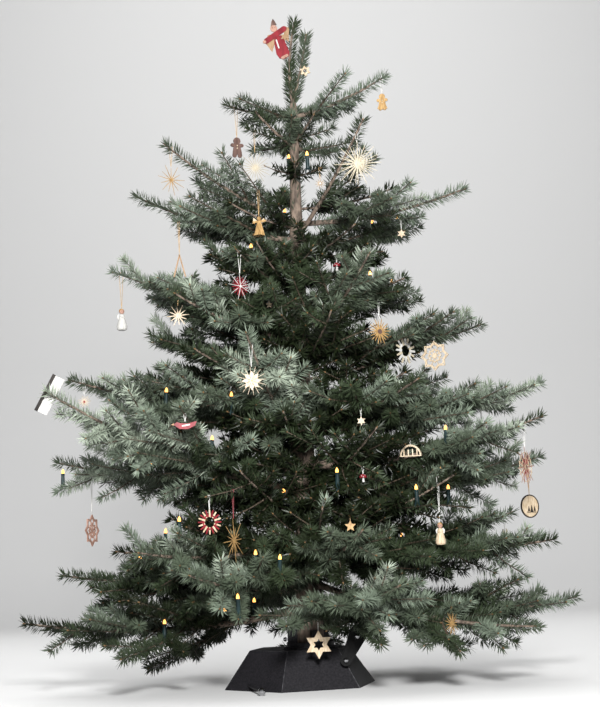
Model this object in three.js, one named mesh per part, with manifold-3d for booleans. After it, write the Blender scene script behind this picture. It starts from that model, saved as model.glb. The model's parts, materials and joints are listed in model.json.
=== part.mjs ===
// A cut Christmas tree, a noble fir type with whorls of rising boughs, standing in its
// six-sided tree stand. Millimetres, +Z up. The origin is the centre of the stand's flat
// underside, and -Y is the side that is looked at. Azimuths are in degrees from +X
// towards +Y, so 0 is right, 90 is behind, 180 is left and 270 is in front.
import * as THREE from 'three';
import { mergeVertices } from 'three/addons/utils/BufferGeometryUtils.js';
import Module from 'manifold-3d';

const wasm = await Module();
wasm.setup();

// Driving dimensions of the stand
const STAND_HEIGHT = 93;
const STAND_FOOT_RADIUS = 198; // to a corner of the six-sided foot
const STAND_TOP_RADIUS = 131; // to a corner of the six-sided top
const STAND_TURN = -13.3; // turns one corner from straight ahead to the front left
const STAND_CENTRE = new THREE.Vector3(-28, 22, 0); // the trunk is clamped off its middle
const WALL = 3;
const FLOOR = 4;
const MOUTH_RADIUS = 56;
const COLLAR_RADIUS = 60;
const COLLAR_WALL = 6;
const COLLAR_HEIGHT = 16;
const COLLAR_FLANGE = 70;
const FLANGE_THICKNESS = 5;
const JAW_WIDTH = 18;
const JAW_HEIGHT = 46;
const JAW_AZIMUTHS = [45, 165, 285];
const PEDAL_PIVOT = new THREE.Vector3(84.5, -108, 67);
const PEDAL_END = new THREE.Vector3(118.5, -108, 131);
const PEDAL_WIDTH = 44;
const PEDAL_HEEL_SHARE = 0.62; // of that width, at the pivot
const PEDAL_THICKNESS = 8;
const BOSS_ROOT_Y = -68; // inside the housing, which the pedal's boss stands out of
const BOSS_RADIUS = 9;
const BOLT_RADIUS = 6;
const BOLT_HEAD = 5;
const BOLT_SHARES = [0, 0.88]; // of the pedal's length, from its pivot
const LEVER_ROOT = new THREE.Vector3(-156, -80, 13);
const LEVER_END = new THREE.Vector3(-119, -230, 9.5);
const LEVER_RADIUS = 3.5;
const LEVER_BALL = 9;
const GAP = 0.3; // between neighbouring pieces
const CUT_GAP = GAP + 0.1; // where a faceted cutter's flats lie nearer than its corners

// Driving dimensions of the trunk: [height, radius], from the cut foot to the fork
const TRUNK_FOOT = FLOOR + GAP;
const TRUNK_PROFILE = [
  [0, 40], [70, 34.5], [230, 31.5], [520, 28], [680, 25.5],
  [860, 22.5], [1170, 17], [1410, 11.5], [1520, 8],
];
const TRUNK_SIDES = 10;
const LEADER_TIP = new THREE.Vector3(17, 0, 1766);
const SECOND_TIP = new THREE.Vector3(47, -14, 1722);
const LEADER_LEVELS = 4; // of needle sprays on each upright shoot
const LEADER_SPRAY_SHARE = 0.24; // of the shoot's length, as a spray's
const LEADER_SPRAY_WIDTH = 10; // to each side of its rib
const LEADER_SPLAY = 0.42; // outwards, for each step up the shoot
const LEADER_SEED = 77;
const TOP_LEAN = 6; // how far the trunk's upper end has wandered to the right

// Driving dimensions of boughs and shoots
const BOUGH_RADIUS = 4.2; // at the trunk, and more for a longer bough
const BOUGH_RADIUS_SHARE = 0.0085; // of the reach, added to that
const TWIG_RADIUS = 2.2; // at a bough's tip
const BOUGH_ROOT = 0.4; // of the trunk's radius, where a bough starts inside the bark
const SAG = 0.05; // a bough's dip at the middle, as a share of its reach
const STAGGER = 0.05; // of a bough's reach: neighbours leave the trunk above and below the whorl
const LIMB_SHARE = 0.34; // of a main bough's length is bare limb, and the rest is its foliage
const PAIR_PITCH = 75; // along a bough, for each pair of side shoots
const MOST_PAIRS = 4;
const FORK_ANGLE = 50; // between a bough and its side shoots
const FORK_SPREAD = 10;
const SHOOT_LIFT = 36; // the spread of side shoots above and below their bough
const SIDE_SHOOT_SHARE = 0.56; // of what is left of the bough's reach, as a side shoot's length
const SHORTEST_SHOOT = 45;
const FIRST_SHOOT = 0.18; // share of a bough's length, from the trunk's axis
const YOUNG_HEIGHT = 1410; // boughs are young above this height
const OLD_HEIGHT = 760; // and old below this one
const LAST_SHARE_YOUNG = 0.58; // of a young bough's length is its last, unbranched shoot
const LAST_SHARE_OLD = 0.32;
const HALF_WIDTH_YOUNG = 22; // of a shoot with its needles
const HALF_WIDTH_OLD = 30; // with its own small side shoots too
const SHOOT_WIDENING = 0.05; // of the shoot's length, added to that for its own side shoots
const STEM_LAP = 10; // of the stem inside its last shoot
const RIB = 4.5; // thickness of a spray at its root
const RIB_TIP = 1.6;
const ROLL = 55; // the most that a spray is turned about its own length
const TOOTH_PITCH = 62;
const MOST_TEETH = 3; // on each side of a spray
const TOOTH_LEAN = 0.25; // of the pitch, by which a tooth points forwards
const NOTCH_STEP = 0.06; // of the pitch, from a tooth's point to the notch before it
const NOTCH_DEPTH = 0.42; // of the tooth's reach is left at the notch
const SPRAY_TAPER = 0.45; // of the half width is lost towards the tip

// The whorls, from the top down. Each bough has its azimuth in degrees, its reach from the
// trunk's axis, and how far its tip lies above the whorl. A limb is bare wood at the trunk.
const WHORLS = [
  { name: 'top', height: 1495, boughs: {
    right: [355, 268, 92], back: [85, 190, 50], left: [180, 198, 31] } },
  { name: 'neck', height: 1408, boughs: {
    right_back: [45, 185, 13], left_back: [135, 180, 25], left_front: [225, 155, 69],
    right_front: [300, 125, 56] } },
  { name: 'shoulder', height: 1168, boughs: {
    right_back: [42, 430, 60], left_back: [134, 455, 80], left: [170, 455, 139],
    left_high: [198, 352, 220], front: [302, 345, 224, 'limb'], right: [350, 463, 82] } },
  { name: 'upper', height: 990, boughs: {
    right_back: [48, 450, 71], left_back: [145, 490, 51], left: [183, 500, 88],
    left_front: [238, 300, 86], right: [340, 310, 27] } },
  { name: 'middle', height: 860, boughs: {
    right: [5, 500, 53], back: [92, 520, 82], left: [166, 430, 68],
    left_front: [222, 420, 105], right_front: [300, 368, 187] } },
  { name: 'broad', height: 680, boughs: {
    right: [0, 640, 67], right_back: [46, 540, 95], left_back: [148, 560, 140],
    left: [195, 612, 97], right_front: [312, 500, 106] } },
  { name: 'front', height: 580, boughs: {
    rising: [252, 420, 273, 'limb'] } },
  { name: 'wide', height: 520, boughs: {
    right: [12, 660, 46], right_back: [68, 620, 50], left_back: [122, 630, 50],
    left: [173, 672, 70], left_front: [208, 662, 190, 'limb'],
    right_front: [343, 630, 122, 'limb'] } },
  { name: 'low', height: 340, boughs: {
    right_back: [62, 620, 20], left_back: [120, 640, 0], left: [178, 645, -45],
    left_front: [225, 560, 0], front: [285, 500, 35], right_front: [348, 640, 0],
    right: [18, 600, 84] } },
  { name: 'lowest', height: 232, boughs: {
    right_back: [58, 640, -30], left_back: [122, 650, -30], left: [187, 728, -50],
    left_front: [238, 520, 55], front: [295, 500, 17], right_front: [332, 610, -96],
    right: [0, 694, -36, 'limb'] } },
];

// Colours
const bark = new THREE.MeshStandardMaterial({ color: 0x6f5f4f, roughness: 0.9, metalness: 0 });
const needles = new THREE.MeshStandardMaterial({ color: 0x4c6355, roughness: 0.55, metalness: 0 });
const blackPaint = new THREE.MeshStandardMaterial({ color: 0x17181a, roughness: 0.4, metalness: 0.3 });

const UP = new THREE.Vector3(0, 0, 1);

// A repeatable stream of numbers between 0 and 1
function seeded(seed) {
  let state = seed;
  return () => {
    state = (state * 16807) % 2147483647;
    return state / 2147483647;
  };
}

function radians(degrees) {
  return degrees * Math.PI / 180;
}

// Manifold solids from geometries, and back
function toSolid(geometry) {
  const bare = geometry.clone();
  bare.deleteAttribute('normal');
  bare.deleteAttribute('uv');
  const merged = mergeVertices(bare, 1e-4);
  return new wasm.Manifold(new wasm.Mesh({
    numProp: 3,
    vertProperties: new Float32Array(merged.attributes.position.array),
    triVerts: new Uint32Array(merged.index.array),
  }));
}

function toGeometry(solid) {
  const mesh = solid.getMesh();
  const geometry = new THREE.BufferGeometry();
  geometry.setAttribute('position', new THREE.BufferAttribute(mesh.vertProperties, 3));
  geometry.setIndex(new THREE.BufferAttribute(mesh.triVerts, 1));
  geometry.computeVertexNormals();
  return geometry;
}

function join(solids) {
  return solids.reduce((whole, solid) => whole.add(solid));
}

// The outer skin of a solid's largest body, without loose scraps and sealed hollows
function largest(solid) {
  const bodies = solid.decompose();
  bodies.sort((a, b) => b.volume() - a.volume());
  return bodies[0];
}

// A closed round limb along a curve, from the unit cylinder whose rings are moved onto it
function limbGeometry(curve, radiusAt, sides, steps, hint) {
  const geometry = new THREE.CylinderGeometry(1, 1, 1, sides, steps);
  const position = geometry.attributes.position;
  for (let i = 0; i < position.count; i++) {
    const share = THREE.MathUtils.clamp(position.getY(i) + 0.5, 0, 1);
    const along = curve.getTangent(share);
    const side = new THREE.Vector3().crossVectors(along, hint).normalize();
    const up = new THREE.Vector3().crossVectors(side, along);
    const radius = radiusAt(share);
    const point = curve.getPoint(share);
    point.addScaledVector(side, position.getX(i) * radius);
    point.addScaledVector(up, position.getZ(i) * radius);
    position.setXYZ(i, point.x, point.y, point.z);
  }
  return geometry;
}

// Trunk: a tapering stem that flares at its cut foot
function trunkRadius(height) {
  const upper = TRUNK_PROFILE.findIndex(([level]) => level > height);
  if (upper < 0) {
    return TRUNK_PROFILE.at(-1)[1];
  }
  const [z0, r0] = TRUNK_PROFILE[Math.max(upper - 1, 0)];
  const [z1, r1] = TRUNK_PROFILE[upper];
  return THREE.MathUtils.lerp(r0, r1, (height - z0) / (z1 - z0));
}

function trunkCentre(height) {
  const share = height / TRUNK_PROFILE.at(-1)[0];
  return new THREE.Vector3(TOP_LEAN * share ** 3, 0, height);
}

function trunkGeometry(extra) {
  const levels = TRUNK_PROFILE.map(([level]) => Math.max(level, TRUNK_FOOT));
  const geometry = new THREE.CylinderGeometry(1, 1, 1, TRUNK_SIDES, levels.length - 1);
  const position = geometry.attributes.position;
  for (let i = 0; i < position.count; i++) {
    const level = levels[Math.round((position.getY(i) + 0.5) * (levels.length - 1))];
    const radius = trunkRadius(level) + extra;
    const centre = trunkCentre(level);
    position.setXYZ(i, centre.x + position.getX(i) * radius, -position.getZ(i) * radius, level);
  }
  return geometry;
}

// Boughs: each is a curve from the trunk's axis to its tip
class BoughCurve extends THREE.Curve {
  constructor(base, azimuth, reach, lift) {
    super();
    this.base = base;
    this.outward = new THREE.Vector3(Math.cos(radians(azimuth)), Math.sin(radians(azimuth)), 0);
    this.reach = reach;
    this.lift = lift;
  }

  getPoint(share, target = new THREE.Vector3()) {
    const dip = SAG * 4 * share * (1 - share);
    target.copy(this.base).addScaledVector(this.outward, this.reach * share);
    target.z += this.lift * share - this.reach * dip;
    return target;
  }
}

// One stretch of a longer curve
class Stretch extends THREE.Curve {
  constructor(whole, from, to) {
    super();
    this.whole = whole;
    this.from = from;
    this.to = to;
  }

  getPoint(share, target = new THREE.Vector3()) {
    return this.whole.getPoint(THREE.MathUtils.lerp(this.from, this.to, share), target);
  }
}

function listBoughs() {
  const boughs = [];
  WHORLS.forEach((whorl, level) => {
    const rows = Object.entries(whorl.boughs);
    const youth = THREE.MathUtils.clamp(
      (whorl.height - OLD_HEIGHT) / (YOUNG_HEIGHT - OLD_HEIGHT), 0, 1);
    rows.forEach(([side, [azimuth, reach, lift, limb]], index) => {
      const offset = (index % 2 ? STAGGER : -STAGGER) * reach;
      const height = whorl.height + offset;
      boughs.push({
        name: `${whorl.name}_${side}`,
        curve: new BoughCurve(trunkCentre(height), azimuth, reach, lift - offset),
        reach,
        hasLimb: limb === 'limb',
        radius: BOUGH_RADIUS + BOUGH_RADIUS_SHARE * reach,
        inside: BOUGH_ROOT * trunkRadius(height) / reach,
        lastShoot: 1 - THREE.MathUtils.lerp(LAST_SHARE_OLD, LAST_SHARE_YOUNG, youth),
        halfWidth: THREE.MathUtils.lerp(HALF_WIDTH_OLD, HALF_WIDTH_YOUNG, youth),
        seed: 1000 * (level + 1) + 37 * (index + 1),
      });
    });
  });
  return boughs;
}

function boughRadius(bough, share) {
  return THREE.MathUtils.lerp(bough.radius, TWIG_RADIUS, share);
}

function woodGeometry(bough, from, to, sides, steps) {
  const stretch = new Stretch(bough.curve, from, to);
  const radiusAt = (share) => boughRadius(bough, THREE.MathUtils.lerp(from, to, share));
  return limbGeometry(stretch, radiusAt, sides, steps, UP);
}

// A spray of needles: a toothed blade with a rib along its upper side. It points along +X,
// its pointed root is at the origin and its underside is flat.
function sprayGeometry(length, halfWidth, teeth) {
  const pitch = length / (teeth + 1);
  const side = [];
  const spine = [];
  for (let tooth = 1; tooth <= teeth; tooth++) {
    const x = pitch * (tooth + TOOTH_LEAN);
    const notch = x + NOTCH_STEP * pitch;
    const reach = halfWidth * (1 - SPRAY_TAPER * (tooth - 1) / teeth);
    side.push([x, reach], [notch, reach * NOTCH_DEPTH]);
    spine.push([notch, THREE.MathUtils.lerp(RIB, RIB_TIP, x / length)]);
  }
  // The outline without the root: one side's teeth and notches, the tip, the other side's
  const outline = [...side, [length, 0], ...[...side].reverse().map(([x, y]) => [x, -y])];
  const root = outline.length;
  const points = [...outline.map(([x, y]) => [x, y, 0]), [0, 0, 0]];
  spine.forEach(([x, z]) => points.push([x, 0, z]));

  const faces = [];
  for (const mirrored of [false, true]) {
    const at = (index) => (mirrored ? root - 1 - index : index);
    const top = (a, b, c) => faces.push(...(mirrored ? [a, b, c] : [a, c, b]));
    for (let tooth = 0; tooth < teeth; tooth++) {
      const behind = root + tooth;
      const ahead = root + tooth + 1;
      if (tooth > 0) {
        top(behind, at(2 * tooth - 1), at(2 * tooth));
      }
      top(behind, at(2 * tooth), ahead);
      top(ahead, at(2 * tooth), at(2 * tooth + 1));
    }
    top(root + teeth, at(2 * teeth - 1), at(2 * teeth));
  }
  faces.push(root, 0, root - 1);
  const flat = outline.map(([x, y]) => new THREE.Vector2(x, y));
  for (const [a, b, c] of THREE.ShapeUtils.triangulateShape(flat, [])) {
    faces.push(c, b, a);
  }
  const geometry = new THREE.BufferGeometry();
  geometry.setAttribute('position', new THREE.Float32BufferAttribute(points.flat(), 3));
  geometry.setIndex(faces);
  return geometry;
}

function placedSpray(root, direction, roll, length, halfWidth, teeth) {
  const across = new THREE.Vector3().crossVectors(UP, direction).normalize();
  const normal = new THREE.Vector3().crossVectors(direction, across);
  const frame = new THREE.Matrix4().makeBasis(direction, across, normal);
  frame.multiply(new THREE.Matrix4().makeRotationX(roll));
  frame.setPosition(root);
  return toSolid(sprayGeometry(length, halfWidth, teeth).applyMatrix4(frame));
}

function teethFor(length) {
  return THREE.MathUtils.clamp(Math.round(length / TOOTH_PITCH) - 1, 1, MOST_TEETH);
}

// The side shoots of a bough by the seeded rule, in pairs, and its last shoot
function listShoots(bough) {
  const random = seeded(bough.seed);
  const shoots = [];
  const first = bough.hasLimb ? LIMB_SHARE + 0.04 : FIRST_SHOOT;
  const last = bough.lastShoot;
  const branched = (last - first) * bough.reach;
  const pairs = THREE.MathUtils.clamp(Math.round(branched / PAIR_PITCH), 1, MOST_PAIRS);
  for (let pair = 0; pair < pairs; pair++) {
    for (const hand of [1, -1]) {
      const place = pair + 0.5 * random() + (hand > 0 ? 0 : 0.3);
      const share = first + (last - first) * place / pairs;
      const length = (1 - share) * bough.reach * SIDE_SHOOT_SHARE + SHORTEST_SHOOT;
      shoots.push({
        share,
        turn: hand * radians(FORK_ANGLE + FORK_SPREAD * (random() - 0.5)),
        lift: radians(SHOOT_LIFT * (random() - 0.4)),
        roll: radians(ROLL * (2 * random() - 1)),
        length: length * (0.88 + 0.24 * random()),
      });
    }
  }
  const length = bough.curve.getPoint(1).distanceTo(bough.curve.getPoint(last));
  shoots.push({ share: last, turn: 0, lift: 0, roll: radians(ROLL * (2 * random() - 1)), length });
  return shoots;
}

function shootSolid(bough, shoot) {
  const root = bough.curve.getPoint(shoot.share);
  const along = shoot.turn === 0
    ? bough.curve.getPoint(1).sub(root).normalize()
    : bough.curve.getTangent(shoot.share);
  const direction = along.applyAxisAngle(UP, shoot.turn);
  direction.z += Math.sin(shoot.lift);
  direction.normalize();
  const halfWidth = bough.halfWidth + SHOOT_WIDENING * shoot.length;
  return placedSpray(root, direction, shoot.roll, shoot.length, halfWidth, teethFor(shoot.length));
}

// Whether a solid keeps the gap to another, by their boxes first
function isClear(solid, other) {
  const a = solid.boundingBox();
  const b = other.boundingBox();
  for (let axis = 0; axis < 3; axis++) {
    if (a.min[axis] > b.max[axis] + 1 || b.min[axis] > a.max[axis] + 1) {
      return true;
    }
  }
  return solid.minGap(other, 1) > GAP;
}

// Stand: a hollow six-sided housing, a collar with jaws, a foot pedal and a release lever
function upright(geometry) {
  return geometry.rotateX(Math.PI / 2);
}

function frustum(low, high, lowRadius, highRadius) {
  const geometry = upright(new THREE.CylinderGeometry(highRadius, lowRadius, high - low, 6, 1));
  geometry.rotateZ(radians(STAND_TURN)).translate(STAND_CENTRE.x, STAND_CENTRE.y, (low + high) / 2);
  return toSolid(geometry);
}

function disc(low, high, radius, sides) {
  const geometry = upright(new THREE.CylinderGeometry(radius, radius, high - low, sides, 1));
  return toSolid(geometry.translate(0, 0, (low + high) / 2));
}

function rod(from, to, radius, sides) {
  const curve = new THREE.LineCurve3(from, to);
  return toSolid(limbGeometry(curve, () => radius, sides, 1, UP));
}

function housingSolid() {
  const slope = (STAND_FOOT_RADIUS - STAND_TOP_RADIUS) / STAND_HEIGHT;
  const wall = WALL * 1.4; // measured to a corner
  const roof = STAND_HEIGHT - WALL;
  const outside = frustum(0, STAND_HEIGHT, STAND_FOOT_RADIUS, STAND_TOP_RADIUS);
  const inside = frustum(FLOOR, roof, STAND_FOOT_RADIUS - slope * FLOOR - wall,
    STAND_FOOT_RADIUS - slope * roof - wall);
  const mouth = disc(roof - 1, STAND_HEIGHT + 1, MOUTH_RADIUS, 24);
  const bossEnd = PEDAL_PIVOT.clone().setY(PEDAL_PIVOT.y + PEDAL_THICKNESS / 2 + GAP);
  const boss = rod(PEDAL_PIVOT.clone().setY(BOSS_ROOT_Y), bossEnd, BOSS_RADIUS, 10);
  return outside.add(boss).subtract(inside).subtract(mouth);
}

function collarSolid(trunkClearance) {
  const low = STAND_HEIGHT + GAP;
  const flange = disc(low, low + FLANGE_THICKNESS, COLLAR_FLANGE, 24);
  const tube = disc(low, low + COLLAR_HEIGHT, COLLAR_RADIUS, 24);
  const bore = disc(low - 1, low + COLLAR_HEIGHT + 1, COLLAR_RADIUS - COLLAR_WALL, 24);
  const jaws = JAW_AZIMUTHS.map((azimuth) => {
    const depth = COLLAR_RADIUS - COLLAR_WALL / 2;
    const jaw = new THREE.BoxGeometry(depth, JAW_WIDTH, JAW_HEIGHT);
    jaw.translate(depth / 2, 0, low + JAW_HEIGHT / 2);
    return toSolid(jaw.rotateZ(radians(azimuth)));
  });
  return join([flange.add(tube).subtract(bore), ...jaws]).subtract(trunkClearance);
}

function pedalSolid() {
  const length = PEDAL_PIVOT.distanceTo(PEDAL_END);
  const half = PEDAL_WIDTH / 2;
  const outline = new THREE.Shape();
  outline.absarc(0, 0, half * PEDAL_HEEL_SHARE, Math.PI / 2, 3 * Math.PI / 2, false);
  outline.absarc(length, 0, half, -Math.PI / 2, Math.PI / 2, false);
  outline.closePath();
  const plate = new THREE.ExtrudeGeometry(outline, {
    depth: PEDAL_THICKNESS, bevelEnabled: false, curveSegments: 6 });
  const tilt = Math.atan2(PEDAL_END.z - PEDAL_PIVOT.z, PEDAL_END.x - PEDAL_PIVOT.x);
  plate.translate(0, 0, -PEDAL_THICKNESS / 2);
  plate.rotateZ(tilt);
  plate.rotateX(Math.PI / 2);
  plate.translate(PEDAL_PIVOT.x, PEDAL_PIVOT.y, PEDAL_PIVOT.z);
  const front = PEDAL_PIVOT.y - PEDAL_THICKNESS / 2;
  const bolts = BOLT_SHARES.map((share) => {
    const centre = PEDAL_PIVOT.clone().lerp(PEDAL_END, share);
    const buried = centre.clone().setY(front + 2);
    return rod(buried, centre.clone().setY(front - BOLT_HEAD), BOLT_RADIUS, 6);
  });
  return join([toSolid(plate), ...bolts]);
}

function leverSolid(housingClearance) {
  const inside = LEVER_ROOT.clone().lerp(LEVER_END, -0.15);
  const shaft = rod(inside, LEVER_END, LEVER_RADIUS, 6);
  const ball = toSolid(new THREE.SphereGeometry(LEVER_BALL, 10, 6)
    .translate(LEVER_END.x, LEVER_END.y, LEVER_END.z));
  return shaft.add(ball).subtract(housingClearance);
}

// Leader: the two upright shoots on the trunk's fork, with sprays of needles on all sides
function leaderSolid() {
  const fork = trunkCentre(TRUNK_PROFILE.at(-1)[0]);
  fork.z += 3 * GAP;
  const radius = trunkRadius(fork.z);
  const random = seeded(LEADER_SEED);
  const hint = new THREE.Vector3(0, 1, 0);
  const shoots = [
    { start: fork, tip: LEADER_TIP, share: 0.8 },
    { start: fork.clone().lerp(LEADER_TIP, 0.03), tip: SECOND_TIP, share: 0.55 },
  ];
  const pieces = [];
  for (const { start, tip, share } of shoots) {
    const curve = new THREE.LineCurve3(start, tip);
    const radiusAt = (at) => THREE.MathUtils.lerp(radius * share, TWIG_RADIUS, at);
    pieces.push(toSolid(limbGeometry(curve, radiusAt, 5, 1, hint)));
    const length = start.distanceTo(tip);
    const axis = tip.clone().sub(start).normalize();
    for (let level = 0; level < LEADER_LEVELS; level++) {
      for (let hand = 0; hand < 2; hand++) {
        const turn = 180 * hand + 90 * level + 30 * random();
        const root = curve.getPoint((level + 0.7) / (LEADER_LEVELS + 0.8));
        const outward = new THREE.Vector3(Math.cos(radians(turn)), Math.sin(radians(turn)), 0);
        const direction = outward.multiplyScalar(LEADER_SPLAY).add(axis).normalize();
        const spray = length * LEADER_SPRAY_SHARE;
        pieces.push(placedSpray(root, direction, 0, spray, LEADER_SPRAY_WIDTH, 1));
      }
    }
  }
  return join(pieces);
}

// Assembly
const group = new THREE.Group();
const solids = [];

function addPiece(name, solid, material) {
  const mesh = new THREE.Mesh(toGeometry(solid), material);
  mesh.name = name;
  group.add(mesh);
  solids.push(solid);
}

const trunkClearance = toSolid(trunkGeometry(CUT_GAP));
const housingClearance = frustum(0.01 - GAP, STAND_HEIGHT + GAP,
  STAND_FOOT_RADIUS + 1.6 * GAP, STAND_TOP_RADIUS + 1.6 * GAP);
addPiece('trunk', toSolid(trunkGeometry(0)), bark);
addPiece('stand_housing', housingSolid(), blackPaint);
addPiece('stand_collar', collarSolid(trunkClearance), blackPaint);
addPiece('foot_pedal', pedalSolid(), blackPaint);
addPiece('release_lever', leverSolid(housingClearance), blackPaint);
addPiece('leader_shoots', leaderSolid(), needles);

const boughs = listBoughs();
for (const bough of boughs.filter(({ hasLimb }) => hasLimb)) {
  const wood = toSolid(woodGeometry(bough, bough.inside, LIMB_SHARE, 6, 3));
  addPiece(`bough_${bough.name}`, largest(wood.subtract(trunkClearance)), bark);
}
for (const bough of boughs) {
  const from = bough.hasLimb ? LIMB_SHARE + (GAP + 0.05) / bough.reach : bough.inside;
  const to = bough.lastShoot + STEM_LAP / bough.reach;
  const stem = toSolid(woodGeometry(bough, from, to, 3, 2));
  bough.stem = bough.hasLimb ? stem : largest(stem.subtract(trunkClearance));
}
for (const bough of boughs) {
  const others = boughs.filter((other) => other !== bough && !other.grown).map(({ stem }) => stem);
  const sprays = [bough.stem];
  for (const shoot of listShoots(bough)) {
    const spray = shootSolid(bough, shoot);
    if ([...solids, ...others].every((other) => isClear(spray, other))) {
      sprays.push(spray);
    }
  }
  bough.grown = true;
  addPiece(`foliage_${bough.name}`, largest(join(sprays)), needles);
}

export default group;
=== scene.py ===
import json
import math

import bpy
import numpy as np
from mathutils import Matrix, Vector
from mathutils.geometry import tessellate_polygon

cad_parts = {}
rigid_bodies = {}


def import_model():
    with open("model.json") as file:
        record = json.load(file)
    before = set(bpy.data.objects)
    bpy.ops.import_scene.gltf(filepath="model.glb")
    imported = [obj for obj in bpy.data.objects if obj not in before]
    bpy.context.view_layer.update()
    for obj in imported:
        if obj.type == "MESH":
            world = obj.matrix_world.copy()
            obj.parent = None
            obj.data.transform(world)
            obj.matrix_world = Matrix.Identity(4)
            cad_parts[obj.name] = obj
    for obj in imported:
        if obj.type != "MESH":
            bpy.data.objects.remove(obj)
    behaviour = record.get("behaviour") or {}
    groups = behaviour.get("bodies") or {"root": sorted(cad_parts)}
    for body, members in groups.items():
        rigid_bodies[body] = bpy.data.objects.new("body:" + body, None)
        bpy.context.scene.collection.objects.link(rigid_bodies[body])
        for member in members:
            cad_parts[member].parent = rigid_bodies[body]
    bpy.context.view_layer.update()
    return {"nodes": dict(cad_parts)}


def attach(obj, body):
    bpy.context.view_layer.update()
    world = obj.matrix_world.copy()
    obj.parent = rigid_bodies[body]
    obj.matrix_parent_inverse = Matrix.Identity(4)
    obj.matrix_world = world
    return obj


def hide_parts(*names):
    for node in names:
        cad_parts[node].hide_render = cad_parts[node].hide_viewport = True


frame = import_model()

# A cut Christmas tree of the noble fir kind in its six-sided stand, with its decorations and
# lights. Sizes are in millimetres, and turn into metres where a mesh is made. +Z is up, -Y is
# the side that is looked at, and azimuths are in degrees from +X towards +Y.
MM = 0.001
UP = np.array([0.0, 0.0, 1.0])

# The photo's camera
PHOTO_WIDTH = 600
PHOTO_HEIGHT = 707
FOCAL_PIXELS = 1400.0
SENSOR_WIDTH = 36.0
CAMERA_DISTANCE = 3600.0
CAMERA_HEIGHT = 300.0
CAMERA_PITCH = math.radians(8.6)
CAMERA_ROLL = math.radians(2.1)

# The trunk: [height, radius], from the cut foot to the fork
TRUNK_FOOT = 4.3
TRUNK_PROFILE = np.array([
    [0, 40], [70, 34.5], [230, 31.5], [520, 28], [680, 25.5],
    [860, 22.5], [1170, 17], [1410, 11.5], [1520, 8],
])
TRUNK_TOP = TRUNK_PROFILE[-1, 0]
TOP_LEAN = 6.0
LEADER_TIP = np.array([17.0, 0.0, 1766.0])
SECOND_TIP = np.array([47.0, -14.0, 1722.0])
TRUNK_RINGS = 240
TRUNK_SIDES = 36
FURROW_RINGS = 6  # a furrow runs on over this many rings
FURROW_DEPTH = 0.8
FURROW_SHARE = 0.05  # and this share of the radius
KNOT_BULGE = 2.0
KNOT_HEIGHT = 16

# The seeded rule of the boughs and their side shoots
BOUGH_RADIUS = 4.2
TIP_ROOM = 20  # a stem ends this far inside the solid's tip, for its needles
BOUGH_RADIUS_SHARE = 0.0085
TWIG_RADIUS = 2.2
SAG = 0.05
STAGGER = 0.05
LIMB_SHARE = 0.34
LIMB_ROOM = 0.04
BARE_SHARE = 0.1  # of a bough without a limb
PAIR_PITCH = 75
MOST_PAIRS = 4
FORK_ANGLE = 50
FORK_SPREAD = 10
SHOOT_LIFT = 36
SIDE_SHOOT_SHARE = 0.56
SHORTEST_SHOOT = 45
FIRST_SHOOT = 0.18
YOUNG_HEIGHT = 1410
OLD_HEIGHT = 760
LAST_SHARE_YOUNG = 0.58
LAST_SHARE_OLD = 0.32
YOUNG_FLATNESS = 0.7  # how much flatter the side shoots lie at the top

# The rule's finer twigs, which only this script makes
FINE_PITCH = 104
FINE_SHARE = 0.52
SHORTEST_FINE = 44
FINE_ANGLE = 46
FINE_SPREAD = 10
FINE_LIFT = 26
FINE_STRETCH = (0.2, 0.7)  # the shares of a side shoot between which they grow
FINEST_STRETCH = (0.3, 0.65)
BOUGH_END = 0.88
BRANCH_BACK = 0.06  # how far a side shoot first leans back, and sags
BRANCH_SAG = 0.03
BRANCH_TIP_RADIUS = 1.0
LONG_ENOUGH = 130  # a shoot over this length has finer ones
YOUNG_LONG_ENOUGH = 165  # and over this one high up the tree
LONG_FINE = 190  # a finer twig over this length has some of its own
STANDING_SHOOTS = 3
HANGING_HEIGHT = 560  # shoots hang from the boughs below this height
WIDE_HANGING_SHOOTS = 7
LOW_HEIGHT = 430
HANGING_SHOOTS = 4  # on the boughs below that height
FILLER_FOOT = 262
FILLER_TOP = 1340
FILLER_PITCH = 25  # up the trunk, between the small boughs that grow between the whorls
FILLER_SHARE = 0.6  # of the crown's reach at that height
GOLDEN_ANGLE = 137.5
SECOND_FORK = 0.04  # how far up the leader its second shoot starts
LEADER_DENSITY = 1.35
TRUNK_NEEDLES_FOOT = 1215  # above this the trunk still has some needles of its own
TRUNK_DENSITY = 0.3
TWIG_DETAIL = {1: (5, 4), 2: (3, 2), 3: (3, 2)}  # each level's sides and steps
BOUGH_SIDES = 8
BOUGH_STEP = 22
BOUGH_ROUGHNESS = 0.16

# Needles
NEEDLE_LENGTH = 27.0
NEEDLE_WIDTH = 3.0
NEEDLES_PER_MM = 1.94
TIP_NEEDLES = 12  # more of them round a shoot's bud
NEEDLE_LEAN = math.radians(67)
UPRIGHT_LEAN = math.radians(50)
TIP_LEAN = math.radians(46)
TIP_STRETCH = 12.0
LEAN_SPREAD = 0.16
COMBING = 0.22  # how far the needles gather to a shoot's two sides
NEEDLE_BRUSH = 0.14  # how much the needles sweep upwards
UPRIGHT_BRUSH = 0.05
NEEDLE_SPIN = 2.4  # how far they turn about their own length
NEEDLE_SHOULDER = 0.42  # where a blade is widest
NEEDLE_FOLD = 0.35
INNER_WIDTH = 1.5  # the needles deep inside are wider and fewer
INNER_DENSITY = 0.5
BUD_SIZE = 2.6
PIECE_TRIANGLES = 184300  # a piece is full above this, so all stay under 200,000

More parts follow.
